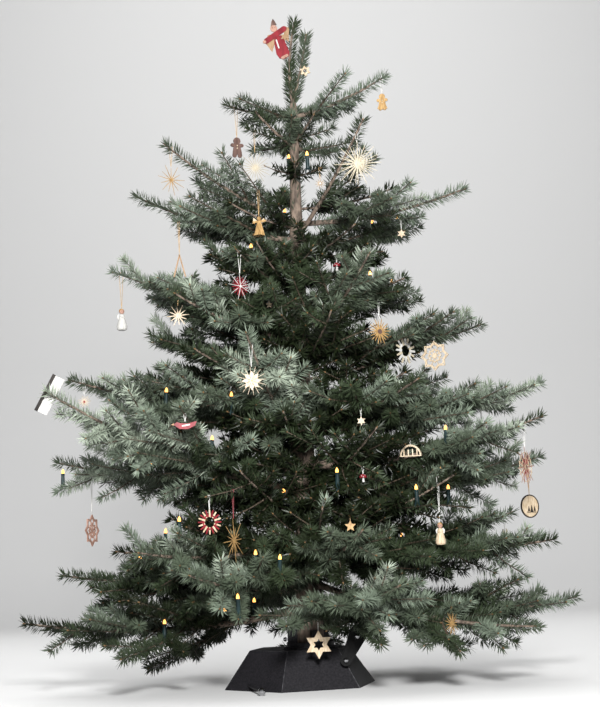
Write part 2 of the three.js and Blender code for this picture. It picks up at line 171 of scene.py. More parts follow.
# How a shoot's place sets its needles' tint, in shares of full light: painted light and shade, paler
# on outer and upright shoots and darker on inner and low ones
UPRIGHT_LIGHT = 0.35
INNER_SHADE = 0.3
LOW_SHADE = 0.22  # the boughs below LOW_HEIGHT are darker
LOW_SHADE_DEPTH = 180
LIGHT_SPREAD = 0.4
FULL_LIGHT = 1.15
TINTS_PER_SHADE = 4.2

# The whorls, from the top down: each bough's side, azimuth, reach and lift of the tip
WHORLS = [
    ("top", 1495, [
        ("right", 355, 268, 92), ("back", 85, 190, 50),
        ("left", 180, 198, 31)]),
    ("neck", 1408, [
        ("right_back", 45, 185, 13), ("left_back", 135, 180, 25),
        ("left_front", 225, 155, 69), ("right_front", 300, 125, 56)]),
    ("shoulder", 1168, [
        ("right_back", 42, 430, 60), ("left_back", 134, 455, 80),
        ("left", 170, 455, 139), ("left_high", 198, 368, 229),
        ("front", 302, 345, 224), ("right", 350, 463, 82)]),
    ("upper", 990, [
        ("right_back", 48, 450, 71), ("left_back", 145, 490, 51),
        ("left", 183, 500, 88), ("left_front", 238, 300, 86),
        ("right", 340, 310, 27)]),
    ("middle", 860, [
        ("right", 5, 500, 53), ("back", 92, 520, 82),
        ("left", 166, 430, 68), ("left_front", 222, 420, 105),
        ("right_front", 300, 368, 187)]),
    ("broad", 680, [
        ("right", 0, 640, 67), ("right_back", 46, 540, 95),
        ("left_back", 148, 560, 140), ("left", 195, 612, 97),
        ("right_front", 309, 455, 46)]),
    ("front", 580, [("rising", 252, 420, 273)]),
    ("wide", 520, [
        ("right", 12, 660, 46), ("right_back", 68, 620, 50),
        ("left_back", 122, 630, 50), ("left", 173, 672, 70),
        ("left_front", 208, 700, 212), ("right_front", 343, 630, 122)]),
    ("low", 340, [
        ("right_back", 62, 620, 20), ("left_back", 120, 640, 0),
        ("left", 178, 645, -45), ("left_front", 225, 560, 0),
        ("front", 285, 500, 35), ("right_front", 348, 640, 0),
        ("right", 18, 600, 84), ("left_high", 190, 500, 10)]),
    ("lowest", 232, [
        ("right_back", 58, 640, -30), ("left_back", 122, 650, -30),
        ("left", 187, 728, -50), ("left_front", 238, 520, 55),
        ("front", 295, 500, 17), ("right_front", 332, 610, -96),
        ("right", 0, 694, -36)]),
]
# The boughs whose first stretch is bare
LIMBS = {"shoulder_front", "front_rising", "wide_left_front", "wide_right_front", "lowest_right"}
# Painted light and shade on some boughs: how much paler their needles are than the rest, or darker
# where negative
PAINTED_LIGHT_BY_BOUGH = {
    "front_rising": 0.4, "wide_left_front": 0.15, "lowest_left_front": 0.25, "lowest_front": 0.3,
    "low_left": -0.2, "low_left_high": -0.3, "lowest_left": -0.2,
}
CROWN_HEIGHTS = [200, 232, 520, 680, 860, 990, 1168, 1408, 1495, 1766]
CROWN_REACHES = [600, 680, 660, 600, 500, 480, 440, 180, 230, 40]

# The stand, whose solids keep their shape and get their looks here
STAND_MIDDLE = np.array([-28.0, 22.0, 0.0])
STAND_HEIGHT = 93.0
STAND_FOOT_RADIUS = 198.0
STAND_TOP_RADIUS = 131.0
STAND_CORNER = 16.7  # the azimuth of one of its corners
PEDAL_BOLTS = [(84.5, -113.5, 67.0), (114.4, -113.5, 123.3)]
BOLT_RADIUS = 6.6
LEVER_BALL = (-119.0, -230.0, 9.5)
LEVER_BALL_RADIUS = 9.4
JAW_SCREWS = [45, 165, 285]
JAW_SCREW_HEIGHT = 116
JAW_SCREW_REACH = (52.0, 66.0)
JAW_SCREW_WIDTH = 7.0
JAW_SCREW_KNOB = 5.6
# The lighter bars along the stand's edges: partly wear, partly a painted highlight on the bevels
WEAR_AND_HIGHLIGHT_WIDTH = 1.4
WEAR_AND_HIGHLIGHT_TOP_WIDTH = 1.1


# Numbers and vectors
def clamp(value, low, high):
    return max(low, min(high, value))


def mix(a, b, share):
    return a + (b - a) * share


def unit(vector):
    return vector / np.linalg.norm(vector)


def unit_rows(vectors):
    return vectors / np.linalg.norm(vectors, axis=-1, keepdims=True)


def around(count, turn=0.0):
    """Angles that are spread evenly round a circle."""
    return turn + np.linspace(0, 2 * math.pi, count, endpoint=False)


def polar(radius, angles):
    return np.column_stack([radius * np.cos(angles), radius * np.sin(angles)])


def turned(vector, axis, angle):
    """The vector turned about an axis by an angle."""
    axis = unit(axis)
    across = np.cross(axis, vector)
    along = axis * np.dot(axis, vector)
    return along + (vector - along) * math.cos(angle) + across * math.sin(angle)


class Stream:
    """A repeatable stream of numbers between 0 and 1."""

    def __init__(self, seed):
        self.state = seed

    def __call__(self):
        self.state = self.state * 16807 % 2147483647
        return self.state / 2147483647


# The camera's frame, which also places what hangs on the tree
ROLL_COS = math.cos(CAMERA_ROLL)
ROLL_SIN = math.sin(CAMERA_ROLL)
PITCH_COS = math.cos(CAMERA_PITCH)
PITCH_SIN = math.sin(CAMERA_PITCH)
CAMERA_PLACE = np.array([0.0, -CAMERA_DISTANCE, CAMERA_HEIGHT])
CAMERA_AHEAD = np.array([0.0, PITCH_COS, PITCH_SIN])
LEVEL_UP = np.array([0.0, -PITCH_SIN, PITCH_COS])
CAMERA_RIGHT = np.array([1.0, 0.0, 0.0]) * ROLL_COS - LEVEL_UP * ROLL_SIN
CAMERA_UP = np.array([1.0, 0.0, 0.0]) * ROLL_SIN + LEVEL_UP * ROLL_COS


def pixels(points):
    """Where points show in the photo, and their distance along the camera's axis."""
    seen = points - CAMERA_PLACE
    depth = seen @ CAMERA_AHEAD
    u = PHOTO_WIDTH / 2 + FOCAL_PIXELS * (seen @ CAMERA_RIGHT) / depth
    v = PHOTO_HEIGHT / 2 - FOCAL_PIXELS * (seen @ CAMERA_UP) / depth
    return u, v, depth


def point_at(u, v, depth):
    """The point that shows at a pixel, at a distance along the camera's axis."""
    ray = (CAMERA_AHEAD + CAMERA_RIGHT * (u - PHOTO_WIDTH / 2) / FOCAL_PIXELS
           - CAMERA_UP * (v - PHOTO_HEIGHT / 2) / FOCAL_PIXELS)
    return CAMERA_PLACE + ray * depth


# Meshes from arrays
def mesh_object(name, vertices, triangles, material, slot, smooth=False):
    """One piece from arrays of vertices, in millimetres, and triangles."""
    vertices = np.asarray(vertices, dtype=np.float32) * MM
    triangles = np.asarray(triangles, dtype=np.int32)
    mesh = bpy.data.meshes.new(name)
    mesh.vertices.add(len(vertices))
    mesh.vertices.foreach_set("co", vertices.ravel())
    mesh.loops.add(triangles.size)
    mesh.loops.foreach_set("vertex_index", triangles.ravel())
    mesh.polygons.add(len(triangles))
    mesh.polygons.foreach_set("loop_start", np.arange(0, triangles.size, 3, dtype=np.int32))
    mesh.polygons.foreach_set("use_smooth", np.full(len(triangles), smooth))
    mesh.update(calc_edges=True)
    mesh.validate()
    mesh.materials.append(material)
    piece = bpy.data.objects.new(name, mesh)
    bpy.context.scene.collection.objects.link(piece)
    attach(piece, "root")
    return piece


class Pile:
    """Vertices and triangles of many small things of one kind."""

    def __init__(self):
        self.blocks = []

    def add(self, vertices, triangles):
        self.blocks.append((vertices, triangles))

    def pieces(self, name, material, slot, smooth=False):
        """Makes objects that each stay under the limit of triangles."""
        groups, room = [], -1
        for block in self.blocks:
            if room < 0:
                groups.append([])
                room = PIECE_TRIANGLES
            groups[-1].append(block)
            room -= len(block[1])
        made = []
        for number, group in enumerate(groups):
            label = f"{name}_{number + 1}" if len(groups) > 1 else name
            starts = np.cumsum([0] + [len(vertices) for vertices, _ in group[:-1]])
            triangles = [block[1] + start for block, start in zip(group, starts)]
            vertices = [block[0] for block in group]
            made.append(mesh_object(
                label, np.concatenate(vertices), np.concatenate(triangles), material, slot, smooth))
        return made


def closed_tube(rings, foot, top):
    """A tube of rings, closed by a point in the middle of each end."""
    count, sides = rings.shape[:2]
    here = np.arange(sides)
    after = (here + 1) % sides
    ring = np.arange(count - 1)[:, None] * sides
    a, b = ring + here, ring + after
    c, d = b + sides, a + sides
    walls = np.concatenate([np.stack([a, b, c], -1), np.stack([a, c, d], -1)]).reshape(-1, 3)
    last = (count - 1) * sides
    foot_cap = np.stack([after, here, np.full(sides, count * sides)], 1)
    top_cap = np.stack([last + here, last + after, np.full(sides, count * sides + 1)], 1)
    vertices = np.concatenate([rings.reshape(-1, 3), [foot], [top]])
    return vertices, np.concatenate([walls, foot_cap, top_cap])


# Flat, turned and straw things from arrays, each in its own frame: x to its right, z up, and y
# away from the side that it shows
def bars(starts, ends, width, depth, tip=1.0):
    """Slim four-sided bars between points, each with a share of its width left at its end."""
    starts, ends = np.atleast_2d(starts), np.atleast_2d(ends)
    along = unit_rows(ends - starts)
    hint = np.where(np.abs(along[:, 1:2]) > 0.9, [1.0, 0, 0], [0, 1.0, 0])
    side = unit_rows(np.cross(along, hint))
    up = np.cross(side, along)
    corners = ((1, 1), (-1, 1), (-1, -1), (1, -1))
    vertices = np.stack([
        point + (side * across * width + up * over * depth) * share / 2
        for point, share in ((starts, 1.0), (ends, tip)) for across, over in corners], 1)
    faces = [[0, 1, 2], [0, 2, 3], [4, 6, 5], [4, 7, 6]]
    for here in range(4):
        after = (here + 1) % 4
        faces += [[here, here + 4, after + 4], [here, after + 4, after]]
    first = np.arange(len(starts))[:, None, None] * 8
    return vertices.reshape(-1, 3), (first + np.array(faces)).reshape(-1, 3)


def wound(outline, way):
    """The outline run round to the left, or for way -1 to the right."""
    outline = np.asarray(outline, dtype=float)
    x, z = outline.T
    area = np.sum(x * np.roll(z, -1) - np.roll(x, -1) * z)
    return outline if area * way > 0 else outline[::-1]


def plate(outline, thickness=2.5, holes=()):
    """A thin board cut to an outline in x and z, with holes."""
    loops = [wound(outline, 1)] + [wound(hole, -1) for hole in holes]
    faces = np.array(tessellate_polygon([[Vector((x, z, 0)) for x, z in loop] for loop in loops]))
    flat = np.concatenate(loops)
    a, b, c = flat[faces[:, 0]], flat[faces[:, 1]], flat[faces[:, 2]]
    turned_back = np.cross(b - a, c - a) < 0
    faces[turned_back] = faces[turned_back][:, ::-1]
    count = len(flat)
    front = np.column_stack([flat[:, 0], np.full(count, -thickness / 2), flat[:, 1]])
    triangles = [faces, faces[:, ::-1] + count]
    start = 0
    for loop in loops:
        here = start + np.arange(len(loop))
        after = np.roll(here, -1)
        triangles.append(np.stack([here, here + count, after + count], 1))
        triangles.append(np.stack([here, after + count, after], 1))
        start += len(loop)
    return np.concatenate([front, front + [0, thickness, 0]]), np.concatenate(triangles)


def lathe(profile, sides=14):
    """A body turned about z, from its [radius, z] at the foot to those at the top."""
    profile = np.array(profile, dtype=float)
    circle = np.column_stack([polar(1.0, around(sides)), np.zeros(sides)])
    rings = profile[:, 0, None, None] * circle + profile[:, 1, None, None] * UP
    return closed_tube(rings, [0, 0, profile[0, 1]], [0, 0, profile[-1, 1]])


def moved(body, x=0.0, y=0.0, z=0.0):
    return body[0] + np.array([x, y, z]), body[1]


def ball(radius, x=0.0, y=0.0, z=0.0):
    return moved(lathe(polar(radius, np.linspace(-1.4, 1.4, 8)), 12), x, y, z)


def disc_outline(radius, x=0.0, z=0.0, count=24):
    return polar(radius, around(count)) + [x, z]


def star_outline(points, outer, inner):
    reach = np.where(np.arange(points * 2) % 2, inner, outer)
    return polar(reach, around(points * 2, math.pi / 2))


def capsule_outline(start, end, radius, end_radius=None):
    """A bar with two round ends."""
    start, end = np.array(start, dtype=float), np.array(end, dtype=float)
    heading = math.atan2(*(end - start)[::-1])
    bend = heading + np.linspace(-math.pi / 2, math.pi / 2, 7)
    return np.concatenate([
        end + polar(end_radius or radius, bend), start + polar(radius, bend + math.pi)])


# Materials, each with the record's slot that it belongs to
def principled(name, colour, roughness, **sockets):
    material = bpy.data.materials.new(name)
    material.use_nodes = True
    shader = material.node_tree.nodes["Principled BSDF"]
    shader.inputs["Base Color"].default_value = (*colour, 1.0)
    shader.inputs["Roughness"].default_value = roughness
    for socket, value in sockets.items():
        shader.inputs[socket.replace("_", " ")].default_value = value
    return material


def grained(name, slot, dark, light, roughness, scale, stretch=(1.0, 1.0, 0.3), bump=0.25,
            **sockets):
    """A finish with fine grain and relief between two colours, stretched along its axes."""
    sockets.setdefault("Specular_IOR_Level", 0.15)
    material = principled(name, light, roughness, **sockets)
    tree = material.node_tree
    shader = tree.nodes["Principled BSDF"]
    place = tree.nodes.new("ShaderNodeTexCoord")
    mapping = tree.nodes.new("ShaderNodeMapping")
    mapping.inputs["Scale"].default_value = stretch
    noise = tree.nodes.new("ShaderNodeTexNoise")
    noise.inputs["Scale"].default_value = scale
    noise.inputs["Detail"].default_value = 6.0
    ramp = tree.nodes.new("ShaderNodeValToRGB")
    for element, position, colour in zip(ramp.color_ramp.elements, (0.35, 0.65), (dark, light)):
        element.position = position
        element.color = (*colour, 1.0)
    relief = tree.nodes.new("ShaderNodeBump")
    relief.inputs["Strength"].default_value = bump
    relief.inputs["Distance"].default_value = 0.002
    tree.links.new(place.outputs["Object"], mapping.inputs["Vector"])
    tree.links.new(mapping.outputs["Vector"], noise.inputs["Vector"])
    tree.links.new(noise.outputs[0], ramp.inputs["Fac"])
    tree.links.new(ramp.outputs["Color"], shader.inputs["Base Color"])
    tree.links.new(noise.outputs[0], relief.inputs["Height"])
    tree.links.new(relief.outputs["Normal"], shader.inputs["Normal"])
    return material, slot


bark = grained("bark", "bark", (0.042, 0.03, 0.022), (0.165, 0.122, 0.092), 0.85, 90.0,
               (1.0, 1.0, 0.45), 0.8, Specular_IOR_Level=0.5)
twig_bark = grained("twig_bark", "bark", (0.024, 0.015, 0.009), (0.075, 0.052, 0.032), 0.8, 260.0,
                    (1.0, 1.0, 1.0), 0.4, Specular_IOR_Level=0.5)
bud_scales = grained("bud_scales", "bark", (0.07, 0.04, 0.018), (0.17, 0.1, 0.045), 0.6, 420.0)

# The needles' tints run from painted full light down to painted deep shade. tint_of deals them out by
# where a shoot sits in the crown
NEEDLE_TINTS = {
    "painted_full_light": (0.212, 0.246, 0.192),
    "pale": (0.113, 0.14, 0.104),
    "middle": (0.054, 0.069, 0.046),
    "green": (0.025, 0.0355, 0.018),
    "deep": (0.0085, 0.0125, 0.005),
}
needle_materials = {
    tint: principled(f"needles_{tint}", colour, 0.38, Specular_IOR_Level=0.2)
    for tint, colour in NEEDLE_TINTS.items()
}

# The finishes of the decorations, the lamps and the stand
FINISHES = {
    "straw": grained("golden_straw", "straw", (0.2, 0.12, 0.045), (0.37, 0.235, 0.1), 0.38, 260.0),
    "cream": grained("cream_straw", "straw", (0.33, 0.25, 0.16), (0.47, 0.385, 0.28), 0.42, 260.0),
    "pale": grained("pale_straw", "straw", (0.29, 0.25, 0.175), (0.4, 0.355, 0.27), 0.42, 260.0),
    "wood": grained("limewood", "light_wood", (0.19, 0.115, 0.06), (0.31, 0.205, 0.125), 0.6, 90.0),
    "brown": grained("brown_wood", "light_wood", (0.055, 0.032, 0.026), (0.11, 0.066, 0.054),
                     0.7, 110.0),
    "skin": grained("skin_paint", "light_wood", (0.24, 0.135, 0.1), (0.33, 0.2, 0.155), 0.5, 60.0),
    "red": grained("red_paint", "red_paint", (0.11, 0.008, 0.012), (0.18, 0.014, 0.02), 0.45, 80.0),
    "white": grained("white_paint", "white_paint", (0.34, 0.335, 0.315), (0.43, 0.425, 0.405),
                     0.45, 80.0),
    "dark": grained("dark_paint", "black_paint", (0.01, 0.008, 0.007), (0.024, 0.02, 0.017),
                    0.5, 80.0),
    "black": grained("satin_black", "black_paint", (0.006, 0.006, 0.007), (0.014, 0.013, 0.015),
                     0.55, 220.0, (1.0, 1.0, 1.0), 0.12),
    "pedal": grained("pedal_black", "black_paint", (0.002, 0.002, 0.002), (0.005, 0.005, 0.005),
                     0.5, 220.0, bump=0.1, Specular_IOR_Level=0.06),
    # lighter edge bars of the stand: partly wear, partly a painted highlight on the bevels
    "worn": grained("worn_edges", "black_paint", (0.01, 0.01, 0.011), (0.06, 0.06, 0.064),
                    0.5, 160.0),
    "silver": grained("bright_steel", "steel", (0.3, 0.3, 0.31), (0.42, 0.42, 0.43), 0.18, 90.0,
                      bump=0.05, Metallic=1.0),
    "socket": grained("lamp_socket", "lamp_socket", (0.004, 0.01, 0.011), (0.01, 0.024, 0.025),
                      0.45, 80.0),
    "glass": grained("lamp_glass", "lamp_glass", (0.42, 0.2, 0.045), (0.56, 0.3, 0.075), 0.12, 90.0,
                     bump=0.05, Emission_Color=(1.0, 0.46, 0.11, 1.0), Emission_Strength=3.0),
}
finish_piles = {finish: Pile() for finish in FINISHES}


# The plant's limbs and shoots
def trunk_radius(height):
    return float(np.interp(height, TRUNK_PROFILE[:, 0], TRUNK_PROFILE[:, 1]))


def trunk_centre(height):
    return np.array([TOP_LEAN * (height / TRUNK_TOP) ** 3, 0.0, height])


def crown_reach(height):
    return float(np.interp(height, CROWN_HEIGHTS, CROWN_REACHES))


def youth_at(height):
    return clamp((height - OLD_HEIGHT) / (YOUNG_HEIGHT - OLD_HEIGHT), 0, 1)


class Shoot:
    """A tapering stem on a quadratic curve through three control points."""

    def __init__(self, start, middle, end, radii, level, bare=0.0, upright=False, density=1.0):
        self.points = np.array([start, middle, end])
        self.radii = radii
        self.level = level
        self.bare = bare
        self.upright = upright
        self.density = density
        self.inner = False
        self.painted_light = 0.0
        self.parent = None
        half_way = self.at(0.5)
        self.length = float(np.linalg.norm(half_way - start) + np.linalg.norm(end - half_way))

    def at(self, share):
        share = np.asarray(share, dtype=float)[..., None]
        a, b, c = self.points
        return (1 - share) ** 2 * a + 2 * share * (1 - share) * b + share ** 2 * c

    def tangent(self, share):
        share = np.asarray(share, dtype=float)[..., None]
        a, b, c = self.points
        return unit_rows((1 - share) * (b - a) + share * (c - b))

    def radius(self, share):
        return mix(self.radii[0], self.radii[1], np.asarray(share, dtype=float))

    def frames(self, shares):
        """The way along the shoot at each share, with the ways to its side and its back."""
        along = self.tangent(shares)
        hint = np.where(np.abs(along[:, 2:3]) > 0.9, [0.0, 1.0, 0.0], UP)
        side = unit_rows(np.cross(along, hint))
        return along, side, np.cross(side, along)


def bough_shoot(base, azimuth, reach, lift, radius, bare):
    """A bough's own stem, on the curve that the rule gives it."""
    angle = math.radians(azimuth)
    outward = np.array([math.cos(angle), math.sin(angle), 0.0])
    lift *= 1 - TIP_ROOM / reach
    reach -= TIP_ROOM
    end = base + outward * reach + UP * lift
    middle = base + 0.5 * (outward * reach + UP * (lift - 4 * SAG * reach))
    return Shoot(base, middle, end, (radius, TWIG_RADIUS), 0, bare)


def branch(parent, share, direction, length, level, upright=False):
    """A side shoot that first leaves its parent steeply, and then bends forwards."""
    root = parent.at(share)
    end = root + direction * length
    back = -parent.tangent(share) * BRANCH_BACK * length
    middle = root + direction * length * 0.5 + back - UP * BRANCH_SAG * length
    radius = min(float(parent.radius(share)) * 0.75, 1.3 + 0.012 * length)
    shoot = Shoot(root, middle, end, (radius, BRANCH_TIP_RADIUS), level, upright=upright)
    shoot.parent = parent
    return shoot


def side_shoots(bough, reach, youth, has_limb, seed):
    """The bough's side shoots by the seeded rule, in pairs."""
    random = Stream(seed)
    last = 1 - mix(LAST_SHARE_OLD, LAST_SHARE_YOUNG, youth)
    first = LIMB_SHARE + LIMB_ROOM if has_limb else FIRST_SHOOT
    pairs = int(clamp(math.floor((last - first) * reach / PAIR_PITCH + 0.5), 1, MOST_PAIRS))
    shoots = []
    for pair in range(pairs):
        for hand in (1, -1):
            place = pair + 0.5 * random() + (0 if hand > 0 else 0.3)
            share = first + (last - first) * place / pairs
            length = (1 - share) * reach * SIDE_SHOOT_SHARE + SHORTEST_SHOOT
            turn = hand * math.radians(FORK_ANGLE + FORK_SPREAD * (random() - 0.5))
            lift = math.radians(SHOOT_LIFT * (random() - 0.4)) * (1 - YOUNG_FLATNESS * youth)
            random()  # the roll of the source's flat spray, which round shoots have no use for
            length *= 0.88 + 0.24 * random()
            direction = turned(bough.tangent(share), UP, turn)
            direction[2] += math.sin(lift)
            shoots.append(branch(bough, share, unit(direction), length, 1))
    return shoots


def fine_shoots(parent, first, last, random, level, youth):
    """Finer twigs on one shoot, in the plane that it spreads in."""
    span = (last - first) * parent.length
    pairs = int(clamp(round(span / FINE_PITCH * (1 - 0.4 * youth)), 1, 4))
    shoots = []
    for pair in range(pairs):
        for hand in (1, -1):
            place = pair + 0.6 * random() + (0 if hand > 0 else 0.25)
            share = first + (last - first) * place / pairs
            length = (1 - share) * parent.length * FINE_SHARE + SHORTEST_FINE
            length *= 0.82 + 0.36 * random()
            along = parent.tangent(share)
            across = unit(np.cross(UP, along)) if abs(along[2]) < 0.95 else np.array([1.0, 0, 0])
            normal = np.cross(along, across)
            turn = hand * math.radians(FINE_ANGLE + FINE_SPREAD * (random() - 0.5))
            lift = math.radians(FINE_LIFT * (random() - 0.42))
            direction = unit(turned(along, normal, turn) + normal * math.sin(lift))
            shoots.append(branch(parent, share, direction, length, level))
    return shoots


def with_finer(shoot, random, youth):
    """A side shoot with its finer twigs, to two more levels."""
    found = [shoot]
    if shoot.length < (YOUNG_LONG_ENOUGH if youth > 0.5 else LONG_ENOUGH):
        return found
    for fine in fine_shoots(shoot, *FINE_STRETCH, random, 2, youth):
        found.append(fine)
        if fine.length > LONG_FINE and youth < 0.5:
            found.extend(fine_shoots(fine, *FINEST_STRETCH, random, 3, 1.0))
    return found


def standing_shoots(bough, count, random):
    """Short shoots that stand up from a bough's upper side."""
    shoots = []
    for _ in range(count):
        share = 0.4 + 0.45 * random()
        lean = math.radians(35 + 25 * random())
        along = bough.tangent(share)
        side = unit(np.cross(UP, along)) * (random() - 0.5) * 0.9
        direction = unit(along * math.cos(lean) + UP * math.sin(lean) + side)
        shoots.append(branch(bough, share, direction, 48 + 40 * random(), 2, upright=True))
    return shoots


def hanging_shoots(bough, count, random):
    """Shoots that hang from the underside of the lowest boughs."""
    shoots = []
    for _ in range(count):
        share = 0.35 + 0.5 * random()
        along = bough.tangent(share)
        side = unit(np.cross(UP, along)) * (random() - 0.5) * 1.2
        direction = unit(along * 0.75 - UP * (0.35 + 0.4 * random()) + side)
        shoots.append(branch(bough, share, direction, 70 + 60 * random(), 2))
    return shoots


def grow_bough(base, azimuth, reach, lift, radius, youth, has_limb, seed):
    """One bough with all its shoots."""
    bough = bough_shoot(base, azimuth, reach, lift, radius, LIMB_SHARE if has_limb else BARE_SHARE)
    last = 1 - mix(LAST_SHARE_OLD, LAST_SHARE_YOUNG, youth)
    random = Stream(seed + 7)
    shoots = [bough]
    for shoot in side_shoots(bough, reach, youth, has_limb, seed):
        shoots.extend(with_finer(shoot, random, youth))
    if youth < 0.5:
        shoots.extend(fine_shoots(bough, last + 0.02, BOUGH_END, random, 2, youth))
        shoots.extend(standing_shoots(bough, STANDING_SHOOTS, random))
    if base[2] < HANGING_HEIGHT:
        count = WIDE_HANGING_SHOOTS if base[2] > LOW_HEIGHT else HANGING_SHOOTS
        shoots.extend(hanging_shoots(bough, count, random))
    return shoots


def grow_whorls():
    shoots = []
    for level, (whorl, whorl_height, rows) in enumerate(WHORLS):
        youth = youth_at(whorl_height)
        for index, (side, azimuth, reach, lift) in enumerate(rows):
            name = f"{whorl}_{side}"
            offset = (STAGGER if index % 2 else -STAGGER) * reach
            base = trunk_centre(whorl_height + offset)
            radius = BOUGH_RADIUS + BOUGH_RADIUS_SHARE * reach
            seed = 1000 * (level + 1) + 37 * (index + 1)
            grown = grow_bough(
                base, azimuth, reach, lift - offset, radius, youth, name in LIMBS, seed)
            for shoot in grown:
                shoot.painted_light = PAINTED_LIGHT_BY_BOUGH.get(name, 0.0)
            shoots.extend(grown)
    return shoots


def grow_between_whorls():
    """Small boughs between the whorls, which fill the crown's inside."""
    random = Stream(4711)
    shoots = []
    height = FILLER_FOOT
    azimuth = 0.0
    while height < FILLER_TOP:
        azimuth += GOLDEN_ANGLE
        reach = crown_reach(height) * FILLER_SHARE * (0.7 + 0.6 * random())
        lift = reach * (0.1 + 0.25 * random())
        radius = 2.2 + 0.006 * reach
        youth = max(youth_at(height), 0.3)
        grown = grow_bough(
            trunk_centre(height), azimuth, reach, lift, radius, youth, False, int(height * 10))
        for shoot in grown:
            shoot.inner = True
        shoots.extend(grown)
        height += FILLER_PITCH * (0.7 + 0.6 * random()) * (1 + 1.2 * youth_at(height))
    return shoots


def grow_leader():
    """The two upright shoots on the trunk's fork."""
    fork = trunk_centre(TRUNK_TOP - 4)
    second_fork = mix(fork, LEADER_TIP, SECOND_FORK)
    rows = ((fork, LEADER_TIP, 6.4, -22.0), (second_fork, SECOND_TIP, 4.6, 6.0))
    shoots = []
    for start, tip, radius, bow in rows:
        tip = tip - UP * TIP_ROOM
        middle = mix(start, tip, 0.5) + np.array([bow, 0.0, 0.0])
        radii = (radius, TWIG_RADIUS)
        shoots.append(Shoot(start, middle, tip, radii, 0, upright=True, density=LEADER_DENSITY))
    return shoots


def trunk_shoot():
    """The young upper end of the trunk, which still has some needles of its own."""
    low, high = trunk_centre(TRUNK_NEEDLES_FOOT), trunk_centre(TRUNK_TOP)
    radii = (trunk_radius(TRUNK_NEEDLES_FOOT), trunk_radius(TRUNK_TOP))
    return Shoot(low, mix(low, high, 0.5), high, radii, 0, upright=True, density=TRUNK_DENSITY)


leader_shoots = grow_leader()
shoots = grow_whorls() + grow_between_whorls() + leader_shoots


# The trunk and the stems as meshes
def stem_arrays(shoot, sides, steps, random=None):
    """A tapering tube along a shoot, closed by a point at its tip."""
    shares = np.linspace(0, 1, steps + 1)
    along, side, up = shoot.frames(shares)
    angles = around(sides)
    radius = shoot.radius(shares)[:, None] * np.ones(sides)
    if random is not None:
        radius *= 1 + BOUGH_ROUGHNESS * (random.random(radius.shape) - 0.5)
    circle = (np.cos(angles)[None, :, None] * side[:, None, :]
              + np.sin(angles)[None, :, None] * up[:, None, :])
    rings = shoot.at(shares)[:, None, :] + circle * radius[:, :, None]
    return closed_tube(rings, shoot.at(0.0), shoot.at(1.0) + along[-1] * shoot.radii[1])


def trunk_arrays():
    """The trunk with furrows, knots at its whorls and a flat cut foot."""
    random = np.random.default_rng(11)
    heights = np.linspace(TRUNK_FOOT, TRUNK_TOP, TRUNK_RINGS)
    coarse = random.random((TRUNK_RINGS // FURROW_RINGS + 2, TRUNK_SIDES))
    rows = np.arange(TRUNK_RINGS) / FURROW_RINGS
    low = rows.astype(int)
    furrows = mix(coarse[low], coarse[low + 1], (rows - low)[:, None]) - 0.5
    furrows += 0.5 * (random.random((TRUNK_RINGS, TRUNK_SIDES)) - 0.5)
    radius = np.array([trunk_radius(height) for height in heights])
    for _, whorl_height, rows_there in WHORLS:
        if len(rows_there) > 1:
            radius = radius + KNOT_BULGE * np.exp(-((heights - whorl_height) / KNOT_HEIGHT) ** 2)
    relief = radius[:, None] * (1 + FURROW_SHARE * furrows) + FURROW_DEPTH * furrows
    centre = np.array([trunk_centre(height) for height in heights])
    circle = np.column_stack([polar(1.0, around(TRUNK_SIDES)), np.zeros(TRUNK_SIDES)])
    rings = centre[:, None, :] + circle * relief[:, :, None]
    return closed_tube(rings, centre[0], centre[-1] + UP * 4)


# Needles
def needle_places(shoot, random):
    """Where the needles start along a shoot: spread evenly, and crowded at its bud."""
    span = 1 - shoot.bare
    density = NEEDLES_PER_MM * shoot.density * (INNER_DENSITY if shoot.inner else 1.0)
    count = int(density * shoot.length * span)
    shares = shoot.bare + span * (np.arange(count) + random.random(count)) / max(count, 1)
    if shoot.density < 1:
        return shares
    crowded = 1 - TIP_STRETCH / shoot.length * random.random(TIP_NEEDLES) ** 2
    return np.concatenate([shares, crowded])


def needle_arrays(shoot, random, zone_share):
    """Needles brushed forwards and up along a shoot, without those before a decoration."""
    shares = needle_places(shoot, random)
    count = len(shares)
    along, side, up = shoot.frames(shares)
    angle = random.random(count) * 2 * math.pi
    angle -= COMBING * np.sin(2 * angle)
    radial = np.cos(angle)[:, None] * side + np.sin(angle)[:, None] * up
    near_tip = np.clip(1 - (1 - shares) * shoot.length / TIP_STRETCH, 0, 1)
    lean = mix(UPRIGHT_LEAN if shoot.upright else NEEDLE_LEAN, TIP_LEAN, near_tip)
    lean = lean + LEAN_SPREAD * (random.random(count) - 0.5)
    direction = along * np.cos(lean)[:, None] + radial * np.sin(lean)[:, None]
    brush = UPRIGHT_BRUSH if shoot.upright else NEEDLE_BRUSH
    direction = unit_rows(direction + UP * brush + 0.1 * (random.random((count, 3)) - 0.5))
    base = shoot.at(shares) + radial * shoot.radius(shares)[:, None] * 0.7
    length = NEEDLE_LENGTH * needle_scale(shoot) * (0.82 + 0.3 * random.random(count))
    chosen = is_clear(base + direction * length[:, None] * 0.6, zone_share)
    half = NEEDLE_WIDTH / 2 * (INNER_WIDTH if shoot.inner else 1.0)
    return blades(base[chosen], direction[chosen], radial[chosen], length[chosen, None], half, random)


